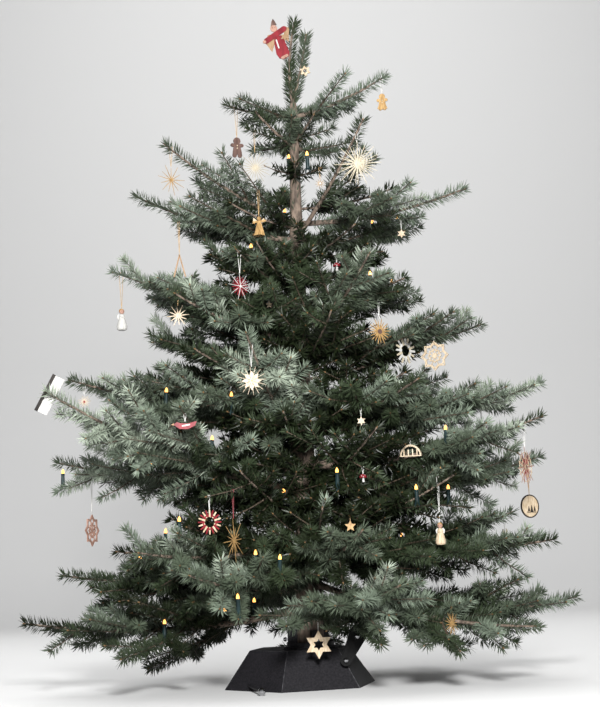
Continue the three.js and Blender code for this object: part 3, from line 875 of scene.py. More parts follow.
def blades(base, direction, radial, length, half, random):
    """Folded blades of two faces, each turned by chance about its own length."""
    flat = np.cross(direction, radial)
    flat /= np.linalg.norm(flat, axis=1, keepdims=True) + 1e-9
    normal = np.cross(flat, direction)
    spin = (random.random((len(base), 1)) - 0.5) * NEEDLE_SPIN
    width = flat * np.cos(spin) + normal * np.sin(spin)
    fold = np.cross(width, direction)
    shoulder = base + direction * (length * NEEDLE_SHOULDER) + fold * NEEDLE_FOLD
    corners = [base, shoulder - width * half, base + direction * length, shoulder + width * half]
    first = np.arange(len(base))[:, None] * 4
    triangles = np.concatenate([first + [0, 1, 2], first + [0, 2, 3]], 1).reshape(-1, 3)
    return np.stack(corners, 1).reshape(-1, 3), triangles


def needle_scale(shoot):
    scale = 0.9 if shoot.level >= 2 and not shoot.upright else 1.0
    # the boughs with painted light also get longer needles
    return scale * (1 + 0.25 * max(shoot.painted_light, 0.0))


def tint_of(shoot, random):
    """Painted light and shade: the outer shoots get paler tints and the inner ones darker, dealt out
    by shoot.
    """
    middle = shoot.at(0.6)
    exposure = float(np.hypot(middle[0], middle[1])) / crown_reach(float(middle[2]))
    if shoot.upright:
        exposure += UPRIGHT_LIGHT
    exposure += shoot.painted_light - (INNER_SHADE if shoot.inner else 0.0)
    exposure -= LOW_SHADE * clamp((LOW_HEIGHT - float(middle[2])) / LOW_SHADE_DEPTH, 0, 1)
    exposure += LIGHT_SPREAD * (random.random() - 0.5)
    tints = list(NEEDLE_TINTS)
    return tints[int(clamp((FULL_LIGHT - exposure) * TINTS_PER_SHADE, 0, len(tints) - 1))]


def bud_arrays(shoot):
    """A small pointed bud at a shoot's tip, with six faces."""
    along, side, up = (rows[0] for rows in shoot.frames(np.array([1.0])))
    centre = shoot.at(1.0) + along * 2
    ring = [centre + BUD_SIZE * (math.cos(a) * side + math.sin(a) * up) for a in (0, 2.1, 4.2)]
    vertices = np.array([centre - along * 3, *ring, centre + along * 6])
    triangles = np.array([[0, 2, 1], [0, 3, 2], [0, 1, 3], [4, 1, 2], [4, 2, 3], [4, 3, 1]])
    return vertices, triangles


# The plant's pieces
def make_trunk():
    trunk = mesh_object("trunk_bark", *trunk_arrays(), *bark, smooth=True)
    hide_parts("trunk")


def make_stems():
    """Boughs with relief, and thin twigs."""
    random = np.random.default_rng(5)
    boughs, twigs = Pile(), Pile()
    for shoot in shoots:
        if shoot.level == 0:
            steps = max(6, int(shoot.length / BOUGH_STEP))
            boughs.add(*stem_arrays(shoot, BOUGH_SIDES, steps, random))
        else:
            twigs.add(*stem_arrays(shoot, *TWIG_DETAIL[shoot.level]))
    bough_piece, = boughs.pieces("boughs", *bark, smooth=True)
    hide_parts(*[name for name in frame["nodes"] if name.startswith("bough_")])
    twigs.pieces("twigs", *twig_bark)


def make_buds():
    buds = Pile()
    for shoot in shoots:
        buds.add(*bud_arrays(shoot))
    buds.pieces("buds", *bud_scales)


def make_needles():
    random = np.random.default_rng(20)
    piles = {tint: Pile() for tint in NEEDLE_TINTS}
    for shoot in shoots + [trunk_shoot()]:
        needles = needle_arrays(shoot, random, CARRIER_SHARE if shoot in carrying else 1.0)
        piles[tint_of(shoot, random)].add(*needles)
    pieces = []
    for tint, pile in piles.items():
        pieces += pile.pieces(f"needles_{tint}", needle_materials[tint], "needles")
    masses = [name for name in frame["nodes"] if name.startswith(("foliage_", "leader_"))]
    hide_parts(*masses)


# The stand's looks
def stand_corners(radius, height):
    corners = polar(radius, np.radians(STAND_CORNER + 60 * np.arange(6)))
    return STAND_MIDDLE + np.column_stack([corners, np.full(6, height)])


def finish_stand():
    """Satin black paint with lighter edges, partly wear and partly a painted highlight on the bevels,
    bright bolts, screws and a lever ball.
    """
    for name in ("stand_housing", "stand_collar", "foot_pedal", "release_lever"):
        for slot in frame["nodes"][name].material_slots:
            slot.link = "OBJECT"
            slot.material = FINISHES["pedal" if name == "foot_pedal" else "black"][0]
    # lighter bars along the housing's edges and rim: partly wear, partly a painted highlight on the
    # bevels
    feet = stand_corners(STAND_FOOT_RADIUS - 0.8, 0.8)
    tops = stand_corners(STAND_TOP_RADIUS - 0.4, STAND_HEIGHT - 0.5)
    finish_piles["worn"].add(*bars(feet, tops, WEAR_AND_HIGHLIGHT_WIDTH, WEAR_AND_HIGHLIGHT_WIDTH))
    rim_ends = np.roll(tops, -1, axis=0)
    finish_piles["worn"].add(*bars(tops, rim_ends, WEAR_AND_HIGHLIGHT_TOP_WIDTH, WEAR_AND_HIGHLIGHT_TOP_WIDTH))
    for x, y, z in PEDAL_BOLTS:
        finish_piles["silver"].add(*ball(BOLT_RADIUS, x, y, z))
    finish_piles["silver"].add(*ball(LEVER_BALL_RADIUS, *LEVER_BALL))
    for azimuth in np.radians(JAW_SCREWS):
        outward = np.array([math.cos(azimuth), math.sin(azimuth), 0.0])
        inner, outer = (outward * reach + UP * JAW_SCREW_HEIGHT for reach in JAW_SCREW_REACH)
        finish_piles["silver"].add(*bars(inner, outer, JAW_SCREW_WIDTH, JAW_SCREW_WIDTH))
        finish_piles["silver"].add(*ball(JAW_SCREW_KNOB, *outer))


# The kinds of decorations: each is a list of parts, which are bodies with their finish
def painted(finish, *bodies):
    return [(finish, body) for body in bodies]


def resized(parts, size):
    return [(finish, (vertices * size, triangles)) for finish, (vertices, triangles) in parts]


def spokes(count, outer, inner=0.0, turn=0.0):
    """The inner and outer ends of rays round a middle, laid in two layers."""
    angles = around(count, turn)
    layer = np.where(np.arange(count) % 2, 0.8, -0.8)
    rim = np.column_stack([np.cos(angles), np.zeros(count), np.sin(angles)])
    outer, inner = np.broadcast_to(outer, count), np.broadcast_to(inner, count)
    lift = np.outer(layer, [0, 1, 0])
    return rim * inner[:, None] + lift, rim * outer[:, None] + lift


def straw_star(reach, rays, width=2.2, short=1.0, finish="straw", heart="white"):
    """Flattened straws through one middle, bound there with thread."""
    lengths = np.where(np.arange(rays) % 2, reach * short, reach)
    straws = bars(*spokes(rays, lengths, 1.0, 0.1), width, 0.9, 0.4)
    return [(finish, straws), (heart, plate(disc_outline(width * 1.5, count=10), 3.4))]


def burst_star(reach, rays):
    """A big star of pale pointed straws of uneven lengths, in two layers."""
    random = np.random.default_rng(4)
    straws = []
    for layer, share in ((-1.2, 1.0), (1.2, 0.8)):
        lengths = reach * share * (0.82 + 0.18 * random.random(rays // 2))
        starts, ends = spokes(rays // 2, lengths, 1.0, 0.1 + 0.1 * layer)
        straws.append(bars(starts + [0, layer, 0], ends + [0, layer * 3, 0], 2.8, 0.9, 0.3))
    return painted("pale", *straws, plate(disc_outline(reach * 0.13, count=16), 4.0))


def two_tone_star(reach, rays, first, second):
    """Long thin rays of one colour over shorter broad ones of another."""
    broad = bars(*spokes(rays, reach * 0.72, 1.0, 0.1), 3.4, 1.0, 0.5)
    starts, ends = spokes(rays // 2, reach, 1.0, 0.1 + math.pi / rays)
    thin = bars(starts - [0, 1, 0], ends - [0, 1, 0], 1.7, 1.0, 0.5)
    return painted(first, broad) + painted(second, thin, plate(disc_outline(3.4, count=10), 4.0))


def petal_star(reach, petals, rays):
    """Broad straw petals with long thin rays between them."""
    half = math.pi / petals * 0.95
    share, aside = np.array([(0.1, 0.0), (0.42, -half), (0.68, 0.0), (0.42, half)]).T
    leaves = [plate(polar(reach * share, turn + aside), 1.8) for turn in around(petals)]
    return straw_star(reach, rays, 1.6, 1.0, "cream", "straw") + painted("cream", *leaves)


def ring_star(reach, rays, first, second):
    """Short straws round an open middle, in two colours, on a ring."""
    parts = []
    for number, finish in enumerate((first, second)):
        starts, ends = spokes(rays // 2, reach, reach * 0.42, number * 2 * math.pi / rays)
        parts.append((finish, bars(starts, ends, reach * 3.1 / rays, 2.4, 0.7)))
    ring = plate(disc_outline(reach * 0.62), 1.6, [disc_outline(reach * 0.5)])
    return parts + [(first, ring)]


def cut_star(points, outer, inner, finish="cream", hole=0.0):
    """A star sawn from thin wood, which may have a star-shaped hole."""
    holes = [star_outline(points, outer * hole, inner * hole)] if hole else []
    return [(finish, plate(star_outline(points, outer, inner), 3.0, holes))]


def fretwork_star(reach, finish):
    """An eight-pointed star sawn as a pierced frame, with two smaller ones on thin spokes."""
    _, tips = spokes(8, reach * 0.85, 0.0, math.pi / 2)
    eyes = [disc_outline(reach * 0.05, x, z, 8) for x, _, z in tips]
    window = star_outline(8, reach * 0.77, reach * 0.62)
    outer = plate(star_outline(8, reach, reach * 0.76), 3.0, [window, *eyes])
    inner = plate(star_outline(8, reach * 0.5, reach * 0.38), 3.0,
                  [star_outline(8, reach * 0.4, reach * 0.28)])
    heart = plate(star_outline(8, reach * 0.2, reach * 0.12), 3.0)
    struts = bars(*spokes(8, reach * 0.66, reach * 0.1, math.pi / 8), 1.8, 2.6)
    return painted(finish, outer, inner, heart, struts)


def lattice_star(reach):
    """A star of thin red and natural straws, tied where they cross."""
    parts = straw_star(reach, 16, 4.2, 0.85, "skin", "cream")
    parts += straw_star(reach * 0.8, 12, 3.4, 0.8, "red", "red")
    for share in (0.45, 0.72):
        _, knots = spokes(16, reach * share, 0.0, 0.1)
        knots[:, 1] = 0.0
        parts += painted("cream", bars(knots, np.roll(knots, -1, axis=0), 1.6, 1.2))
    return parts


def biscuit_figure(height, finish, skirt=False):
    """A small flat figure with stubby arms, like a biscuit."""
    size = height / 10
    outlines = [
        disc_outline(1.75, 0, 3.2), capsule_outline((-2.4, 1.1), (2.4, 1.1), 0.85),
        capsule_outline((0, 1.2), (0, -1.4), 1.6, 2.0),
        capsule_outline((-1.0, -1.6), (-1.3, -3.9), 1.05),
        capsule_outline((1.0, -1.6), (1.3, -3.9), 1.05)]
    if skirt:
        outlines.append([(-1.2, 0.6), (1.2, 0.6), (2.9, -3.9), (0, -4.5), (-2.9, -3.9)])
    boards = [plate(np.array(outline) * size, 3.2 + 0.2 * number)
              for number, outline in enumerate(outlines)]
    buttons = [ball(0.35 * size, 0, -2.1, z * size) for z in (0.9, -0.4)]
    return painted(finish, *boards) + painted("cream", *buttons)


def leader_figure():
    """The flat wooden figure at the top: red dress and sleeves, hat, and a star in its hand."""
    wood = [
        plate([(-30, 17), (-35.5, -6), (-19, -31), (-11, -6), (-12, 20)], 2.6),
        plate([(12, 36), (18, 40), (28, 36), (26, -5), (15, 8)], 2.6),
        moved(plate(star_outline(6, 12.5, 6.5), 2.6), 16, -4, 10)]
    red = [
        plate([(-12, 10), (9, 17), (18, -8), (27, -32), (25, -43), (15, -51), (0, -49),
               (-8, -37), (-13, -6)], 3.4),
        moved(plate(capsule_outline((-34, 0), (14, 33), 7.5), 3.0), 0, -1.6)]
    hat = plate([(-21, 42), (-5, 46), (-10, 56), (-15, 63), (-19, 54)], 3.6)
    skin = [
        moved(plate(disc_outline(9.5, -13, 35), 3.2), 0, -0.8),
        moved(plate(disc_outline(4.5, -39, -2, count=14), 3.0), 0, -1.8),
        moved(plate(capsule_outline((8, -48), (20, -42), 4), 3.0), 0, -0.6)]
    stripe = moved(plate(capsule_outline((-7, 2), (-1, -20), 1.8), 3.0), 0, -1.0)
    eyes = [ball(1.1, x, -2.6, 37) for x in (-16.5, -10)]
    return (painted("wood", *wood) + painted("red", *red) + painted("brown", hat)
            + painted("skin", *skin) + painted("white", stripe) + painted("dark", *eyes))


def turned_angel(height, robe="white"):
    """A turned wooden angel: a bell of a robe, arms, a ball of a head, hair and flat wings."""
    size = height / 60
    bell = lathe([[10.5, -29], [13, -26], [13.5, -18], [11, -8], [8, 2], [7.5, 8], [5.5, 12],
                  [2.5, 14]])
    arms = [bars([[way * 5.5, -2, 9]], [[way * 1.5, -9, 3]], 3.6, 3.6, 0.8) for way in (-1, 1)]
    outline = np.array([(0, 11), (8, 14), (12, 9), (10.5, 1), (5, -2), (0, 0)])
    wings = [moved(plate(outline * [way, 1], 1.8 / size), 0, 5) for way in (-1, 1)]
    eyes = [ball(0.8, way * 2.4, -6.5, 20.5) for way in (-1, 1)]
    parts = painted(robe, bell, *arms) + painted("skin", ball(6.8, 0, 0, 20))
    parts += painted("straw", ball(7.1, 0, 1.4, 21.5)) + painted("white", *wings)
    return resized(parts + painted("dark", *eyes), size)


def wooden_disc(radius):
    """A slice of wood with a dark rim, and three little dark firs on it."""
    rim = plate(disc_outline(radius, count=32), 3.4, [disc_outline(radius * 0.9, count=32)])
    face = plate(disc_outline(radius * 0.92, count=32), 2.6)
    ground = capsule_outline((-0.36 * radius, -0.5 * radius), (0.6 * radius, -0.5 * radius), 1.0)
    fir = np.array([(-0.16, -0.3), (0.16, -0.3), (0.0, 0.34)])
    rows = ((-0.16, 0.7), (0.16, 0.95), (0.48, 0.7))
    drawn = [(fir * size + [x, -0.2]) * radius for x, size in rows]
    raised = [moved(plate(outline, 1.2), 0, -1.4) for outline in (*drawn, ground)]
    return painted("dark", rim, *raised) + painted("cream", face)


def little_arch(width):
    """A small wooden arch with upright bars under it."""
    outer = polar(1.0, np.linspace(0, math.pi, 15)) * [width / 2, 1.05 * width / 2]
    arch = plate(np.concatenate([outer, outer[::-1] * 0.84]), 5.0)
    feet = np.outer(np.linspace(-0.3, 0.3, 4) * width, [1, 0, 0])
    uprights = bars(feet, feet + [0, 0, width * 0.3], 3.0, 3.0)
    return painted("cream", arch, uprights, bars([-width / 2, 0, 0], [width / 2, 0, 0], 2.4, 6.0))


def straw_bundle():
    """A little figure of bound straws: spread skirt and arms, a ball of a head."""
    rim = polar(12.0, around(14))
    hem = np.column_stack([rim, np.full(14, -28.0)])
    neck = np.column_stack([rim * 0.2, np.full(14, 10.0)])
    straws = bars(neck, hem, 3.4, 1.6, 1.3)
    arms = bars([-17.0, -1, 6], [17.0, -1, 12], 5, 3)
    band = lathe([[3.4, 3], [4.0, 5], [3.4, 7]], 10)
    wings = [moved(plate([(0, 8), (way * 14, 20), (way * 15, 9), (0, 4)], 1.4), 0, 3)
             for way in (-1, 1)]
    return (painted("straw", straws, arms, ball(5.5, 0, 0, 17)) + painted("red", band)
            + painted("cream", *wings))


def folded_card(length, width):
    """A white folded card with a dark band along one side."""
    half = length / 2
    sheet = bars([[0, 0, -half], [1.5, 3, -half]], [[0, 0, half], [1.5, 3, half]], width, 1.4)
    band = bars([-width / 2, 0.5, -half - 1], [-width / 2, 0.5, half + 1], 8.0, 5.0)
    return [("white", sheet), ("dark", band)]


def toadstool(height):
    """A red cap with white dots on a white stalk."""
    cap = lathe([[2, 0], [9, 0.5], [9.5, 2], [8, 6], [4.5, 9], [0.5, 10]])
    stalk = lathe([[3.2, -10], [2.6, -4], [2.4, 1]])
    places = ((-4, -6.5, 4.5), (3.5, -5.5, 6), (0, -8.5, 2), (-1, -2, 9.2))
    dots = [ball(1.4, *place) for place in places]
    return resized(painted("red", cap) + painted("white", stalk, *dots), height / 20)


def little_bird(width):
    """A flat red bird with a white wing line and a wooden beak."""
    outline = np.array([(-0.5, 0.06), (-0.36, 0.17), (-0.2, 0.12), (0.12, 0.1), (0.5, 0.2),
                        (0.42, 0.0), (0.12, -0.14), (-0.22, -0.13), (-0.4, -0.02)]) * width
    beak = plate(np.array([(-0.62, 0.06), (-0.47, 0.13), (-0.46, 0.02)]) * width, 2.0)
    wing = plate(capsule_outline((-0.12 * width, 0.0), (0.18 * width, 0.05 * width), 1.6), 0.8)
    return [("red", plate(outline, 5.0)), ("wood", beak), ("white", moved(wing, 0, -2.6))]


def open_v(width, height):
    """Two slim legs of natural wood that meet at the top."""
    top = [0, 0, height / 2]
    feet = [[-width / 2, 0, -height / 2], [width / 2, 0, -height / 2]]
    return painted("wood", bars([top, top], feet, 3.4, 2.6), ball(2.4, *top))


# Where the decorations show in the photo, in pixels: the twig that each hangs from and its middle.
# Then come the turn about the upright axis, in degrees, and the thread's finish.
HUNG = [
    (biscuit_figure(56, "brown"), (237, 110), (237, 149), 20, "straw"),
    (straw_star(43, 22, 2.0, 0.85, "pale", "pale"), (253, 131), (256, 169), 10, "straw"),
    (burst_star(60, 32), (357, 135), (363, 165), -8, "white"),
    (straw_star(41, 13, 2.2, 0.8, "straw", "straw"), (163, 155), (166, 181), 38, "straw"),
    (biscuit_figure(46, "straw", True), (384, 82), (385, 103), -10, "white"),
    (straw_star(13, 10, 1.8), (319, 172), (319, 184), 0, "straw"),
    (straw_bundle(), (256, 200), (257, 226), 15, "straw"),
    (two_tone_star(34, 18, "red", "white"), (238, 253), (238, 287), 38, "white"),
    (straw_star(28, 12, 3.4, 0.8, "cream", "cream"), (177, 288), (178, 316), 5, "straw"),
    (turned_angel(60), (113, 272), (113, 320), 30, "straw"),
    (open_v(30, 58), (179, 248), (179, 267), 0, "straw"),
    (cut_star(6, 12, 6), (401, 215), (401, 234), 0, "white"),
    (toadstool(22), (336, 255), (336, 267), 0, "white"),
    (straw_star(33, 20, 4.4, 0.86, "straw", "brown"), (378, 298), (379, 332), 30, "white"),
    (ring_star(34, 16, "white", "pale"), (404, 325), (404, 351), 42, "white"),
    (fretwork_star(39, "cream"), (433, 335), (433, 356), -28, "white"),
    (petal_star(34, 8, 16), (252, 341), (254, 381), 5, "white"),
    (cut_star(5, 9, 4), (269, 287), (269, 305), 0, "white"),
    (cut_star(6, 11, 6), (360, 408), (360, 421), 0, "white"),
    (ring_star(29, 20, "red", "cream"), (206, 492), (206, 522), 25, "white"),
    (straw_star(52, 16, 3.0, 0.6, "straw", "straw"), (235, 504), (236, 540), 64, "red"),
    (fretwork_star(42, "skin"), (91, 462), (92, 530), 73, "white"),
    (turned_angel(56, "cream"), (438, 480), (441, 533), -10, "white"),
    (lattice_star(50), (523, 430), (524, 467), 58, "white"),
    (wooden_disc(30), (529, 472), (531, 506), 32, "straw"),
    (cut_star(5, 14, 6.5, "straw"), (349, 512), (349, 526), 0, "straw"),
    (cut_star(6, 34, 19.5, hole=0.42), (318, 610), (321, 644), 6, "white"),
    (little_bird(54), (186, 413), (186, 426), 8, "white"),
    (little_arch(54), (409, 434), (409, 456), -10, "white"),
    (straw_star(31, 18, 3.0, 0.8, "straw", "straw"), (455, 604), (453, 622), 52, "straw"),
    (straw_star(17, 14, 1.8, 0.9, "cream", "red"), (84, 390), (84, 402), 0, "white"),
    (toadstool(20), (362, 464), (362, 478), 0, "white"),
]
FIGURE_PLACE = (279, 41)
TOP_STAR_PLACE = (305, 71)
TIED_BEFORE = 10  # mm in front of the shoots' middle
CARD_PLACE = (50.0, 395.0)
CARD_TILT = -28
CARD_LENGTH = 94
CARD_WIDTH = 26
# The lamps' bulbs in the photo, in pixels
LAMPS = [
    (288, 153), (308, 155), (285, 210), (251, 245), (375, 226), (371, 272), (229, 394), (165, 391),
    (212, 438), (64, 480), (181, 520), (165, 532), (341, 475), (285, 489), (418, 489), (450, 484),
    (447, 431), (257, 556), (279, 557), (237, 605), (255, 604), (164, 627), (227, 624),
]
LAMP_RISE = 19  # pixels from a lamp's twig up to its bulb
LAMP_TOP = -60  # a lamp stands on its twig, so the twig may be below it
LAMP_SIZE = 8
LAMP_FOOT = 6
LAMP_LEAN = 14
BULB_HEIGHT = 46
BULB_ROOM = 9
SOCKET_PROFILE = [[2.6, 0], [4.6, 3], [5.2, 9], [4.4, 30], [5.0, 33], [3.8, 36]]
BULB_PROFILE = [[2.6, 34], [3.7, 36], [3.9, 40], [2.8, 44], [1.2, 47], [0.3, 48]]
THREAD = 1.1
EYE_ROOM = 6  # the least thread between a decoration's top and its twig

# How a twig is chosen for a decoration, in pixels of cost
CANDIDATES = 240  # samples of the twigs that are tried
SEEN_SHARE = 0.8  # of a decoration's reach, where what shows before it counts
SIDEWAYS_COST = 1.8
UPWARDS_COST = 0.65
TOO_LOW_COST = 1.5
DEPTH_COST = 0.012
NEAR_COST = 0.3  # for each sample that shows before it, where its room will be kept free
FAR_COST = 1.6
BOUGH_COST = 4.0
ZONE_FRONT = 280  # the room before a decoration that is kept free of needles
ZONE_BACK = 10
ZONE_MARGIN = 3
CARRIER_SHARE = 0.7  # of that room's width, for the needles of the twigs that carry something

# The sides that the photo doesn't show
BACK_DECORATIONS = 16
BACK_LAMPS = 14
BACK_FOOT = 260
BACK_SPACING = 190
BACK_RISES = (-65, 45)  # of a decoration's and a lamp's middle from its twig
BACK_REACHES = (0.8, 0.6)  # the least share of the crown's reach for each
BACK_DROP = 50
BACK_DROP_SPREAD = 40
HIDING_ROOM = 60  # a decoration stands no further than this before its twig
HIDING_GAP = 50  # and what hides it is at least this far before that
HIDING_SAMPLES = 9
HIDING_SIZES = (26, 52)


# Hanging the decorations on the twigs
def twig_samples():
    """Points along all shoots, with the shoot that each lies on."""
    points, owners = [], []
    for number, shoot in enumerate(shoots):
        count = max(3, int(shoot.length / 10))
        points.append(shoot.at(np.linspace(max(shoot.bare, 0.1), 0.96, count)))
        owners.append(np.full(count, number))
    return np.concatenate(points), np.concatenate(owners)


twig_points, twig_owners = twig_samples()
twig_u, twig_v, twig_depth = pixels(twig_points)
twig_levels = np.array([shoot.level for shoot in shoots])[twig_owners]
clear_zones = []
carrying = set()


def shows_near(middle, depth, size):
    """Which samples of the twigs show within a decoration's reach of its middle."""
    reach = size * FOCAL_PIXELS / depth * SEEN_SHARE
    return (np.abs(twig_u - middle[0]) < reach) & (np.abs(twig_v - middle[1]) < reach)


def in_the_way(middle, depth, size):
    """How much grows in front of a decoration, where a bough's own stem counts most."""
    ahead = depth - twig_depth
    costs = np.where(ahead < ZONE_FRONT, NEAR_COST, FAR_COST)
    costs[twig_levels == 0] = BOUGH_COST
    return float(costs[shows_near(middle, depth, size) & (ahead > -ZONE_BACK)].sum())


def twig_for(place, middle, top, size):
    """The sample that a decoration hangs from: near its pixel, with little in front of it."""
    cost = np.hypot((twig_u - place[0]) * SIDEWAYS_COST, (twig_v - place[1]) * UPWARDS_COST)
    lowest_v = middle[1] - (top + EYE_ROOM) * FOCAL_PIXELS / twig_depth
    too_low = np.maximum(twig_v - lowest_v, 0)
    cost = cost + TOO_LOW_COST * too_low + DEPTH_COST * (twig_depth - CAMERA_DISTANCE)
    return min(np.argsort(cost)[:CANDIDATES],
               key=lambda number: cost[number] + in_the_way(middle, twig_depth[number], size))


def add_parts(parts, centre, yaw, tilt=0.0):
    """Puts a decoration's parts into the piles of their finishes."""
    lean, turn = math.radians(tilt), math.radians(yaw)
    leaning = np.array([[math.cos(lean), 0, -math.sin(lean)], [0, 1, 0],
                        [math.sin(lean), 0, math.cos(lean)]])
    turning = np.array([[math.cos(turn), -math.sin(turn), 0],
                        [math.sin(turn), math.cos(turn), 0], [0, 0, 1]])
    matrix = turning @ leaning
    for finish, (vertices, triangles) in parts:
        finish_piles[finish].add(vertices @ matrix.T + centre, triangles)


def size_of(parts):
    """How far a decoration reaches up from its middle, and outwards."""
    vertices = np.concatenate([body[0] for _, body in parts])
    return float(vertices[:, 2].max()), float(np.hypot(vertices[:, 0], vertices[:, 2]).max())


def add_thread(eye, knot, finish, twig_radius):
    """A loop of thread from a decoration's top over the twig that carries it."""
    over = knot + UP * (twig_radius + THREAD)
    spread = CAMERA_RIGHT * (twig_radius + THREAD)
    starts = [eye, eye, over - spread]
    ends = [over - spread, over + spread, over + spread]
    finish_piles[finish].add(*bars(starts, ends, THREAD, THREAD))


def keep_clear(centre, reach, outward=None):
    """Keeps needles from the room before a decoration, on the photo's side or outwards."""
    facing = unit(CAMERA_PLACE - centre) if outward is None else outward
    clear_zones.append((centre, reach, facing))


def is_clear(points, share):
    """Which points lie outside the room that the decorations keep free of needles."""
    clear = np.ones(len(points), dtype=bool)
    for centre, reach, facing in clear_zones:
        near = np.flatnonzero(np.abs(points - centre).max(axis=1) < reach + ZONE_FRONT)
        if len(near) == 0:
            continue
        offset = points[near] - centre
        ahead = offset @ facing
        aside = np.linalg.norm(offset - ahead[:, None] * facing, axis=1)
        inside = (aside < reach * share) & (ahead > -ZONE_BACK) & (ahead < ZONE_FRONT)
        clear[near[inside]] = False
    return clear


def hang(parts, number, drop, yaw, finish, outward=None):
    """Hangs a decoration below a sample of the twigs."""
    top, reach = size_of(parts)
    knot = twig_points[number]
    centre = knot - UP * max(drop, top + EYE_ROOM)
    shoot = shoots[twig_owners[number]]
    add_parts(parts, centre, yaw)
    add_thread(centre + UP * (top - 1.5), knot, finish, float(shoot.radius(0.7)))
    narrowed = 0.5 + 0.5 * abs(math.cos(math.radians(yaw)))  # one that is turned shows less
    shown = narrowed if outward is None else 1.0
    keep_clear(centre, reach * shown + ZONE_MARGIN, outward)
    carrying.add(shoot)


def hang_in_front():
    for parts, place, middle, yaw, finish in HUNG:
        number = twig_for(place, middle, *size_of(parts))
        scale = twig_depth[number] / FOCAL_PIXELS
        hang(parts, number, (middle[1] - twig_v[number]) * scale, yaw, finish)


def is_out_of_sight(number, rise):
    """Whether the crown hides a sample, and what stands or hangs there, from the photo's side."""
    middle = (twig_u[number], twig_v[number] - rise * FOCAL_PIXELS / twig_depth[number])
    front = twig_depth[number] - HIDING_ROOM
    before = twig_depth < front - HIDING_GAP
    near, about = (np.count_nonzero(before & shows_near(middle, front, size))
                   for size in HIDING_SIZES)
    return min(near, about / 3) >= HIDING_SAMPLES


def back_samples(random, count, lowest_share, rise):
    """Samples near the shoots' tips on the sides that the photo doesn't show, well apart."""
    radius = np.hypot(twig_points[:, 0], twig_points[:, 1])
    reach = np.interp(twig_points[:, 2], CROWN_HEIGHTS, CROWN_REACHES)
    behind = twig_points[:, 1] > 0.15 * radius
    outer = np.flatnonzero(behind & (radius > lowest_share * reach) & (twig_points[:, 2] > BACK_FOOT))
    chosen = []
    for number in outer[np.argsort(random.random(len(outer)))]:
        away = [np.linalg.norm(twig_points[number] - twig_points[other]) for other in chosen]
        if min(away, default=np.inf) > BACK_SPACING and is_out_of_sight(number, rise):
            chosen.append(number)
        if len(chosen) == count:
            break
    return chosen


def hang_behind():
    """The unseen sides carry the same kinds of decorations as the front."""
    random = np.random.default_rng(31)
    samples = back_samples(random, BACK_DECORATIONS, BACK_REACHES[0], BACK_RISES[0])
    for order, number in enumerate(samples):
        parts = HUNG[(order * 5 + 1) % len(HUNG)][0]
        outward = unit(twig_points[number] * [1, 1, 0])
        yaw = math.degrees(math.atan2(outward[1], outward[0])) + 90 + 30 * (random.random() - 0.5)
        drop = BACK_DROP + BACK_DROP_SPREAD * random.random()
        hang(parts, number, drop, yaw, "white", outward)


def tie_on_leader():
    """The figure and the small star that are tied to the two upright shoots."""
    figure = (leader_figure(), FIGURE_PLACE, leader_shoots[0], 0)
    star = (cut_star(6, 15.5, 9.5, hole=0.45), TOP_STAR_PLACE, leader_shoots[1], 8)
    for parts, place, stem, tilt in (figure, star):
        points = stem.at(np.linspace(0, 1, 80))
        _, v, depth = pixels(points)
        number = int(np.argmin(np.abs(v - place[1])))
        centre = point_at(*place, depth[number] - TIED_BEFORE)
        add_parts(parts, centre, 0, tilt)
        right, left = (points[number] + [aside, 0, 2] for aside in (TIED_BEFORE, -TIED_BEFORE))
        right_back, left_back = (side + [0, TIED_BEFORE, 0] for side in (right, left))
        starts = [centre, centre, right, left, right_back]
        ends = [right, left, right_back, left_back, left_back]
        finish_piles["white"].add(*bars(starts, ends, THREAD, THREAD))
        keep_clear(centre, size_of(parts)[1] * 0.7)


def push_card_on():
    """The white card on the tip of the left bough."""
    away = np.hypot(twig_u - CARD_PLACE[0], twig_v - CARD_PLACE[1])
    number = int(np.argmin(away + 0.02 * twig_depth))
    card = folded_card(CARD_LENGTH, CARD_WIDTH)
    add_parts(card, point_at(*CARD_PLACE, twig_depth[number] + 3), 0, CARD_TILT)
    carrying.add(shoots[twig_owners[number]])


def add_lamp(number, random):
    """A small lamp in its socket, clipped to a twig."""
    knot = twig_points[number]
    lean = LAMP_LEAN * (random.random(2) - 0.5)
    clips = [bars([0, y, 4], [0, y, -9], 4.0, 1.6) for y in (-5.5, 5.5)]
    bridge = bars([0, -6.2, 2], [0, 6.2, 2], 4.0, 2.0)
    lamp = painted("socket", lathe(SOCKET_PROFILE, 10), *clips, bridge)
    lamp += painted("glass", lathe(BULB_PROFILE, 10))
    add_parts(lamp, knot + UP * LAMP_FOOT, 180 * random.random(), lean[0])
    keep_clear(knot + UP * BULB_HEIGHT, BULB_ROOM)


def add_lamps():
    random = np.random.default_rng(8)
    for u, v in LAMPS:
        add_lamp(twig_for((u, v + LAMP_RISE), (u, v), LAMP_TOP, LAMP_SIZE), random)
    for number in back_samples(random, BACK_LAMPS, BACK_REACHES[1], BACK_RISES[1]):
        add_lamp(number, random)


def without_blocked_twigs():
    """The shoots without those, and what they bear, that would grow through a decoration."""
    bearing = set()
    for shoot in carrying:
        while shoot is not None:
            bearing.add(shoot)
            shoot = shoot.parent
    kept, dropped = [], set()
    for shoot in shoots:
        core = 1.0 if shoot.level >= 2 else 0.6
        blocked = shoot.level > 0 and not is_clear(shoot.at(np.linspace(0.25, 0.95, 8)), core).all()
        if shoot not in bearing and (blocked or shoot.parent in dropped):
            dropped.add(shoot)
        else:
            kept.append(shoot)
    return kept


def finish_decorations():
    for finish, pile in finish_piles.items():
        pile.pieces(f"decoration_{finish}", *FINISHES[finish])


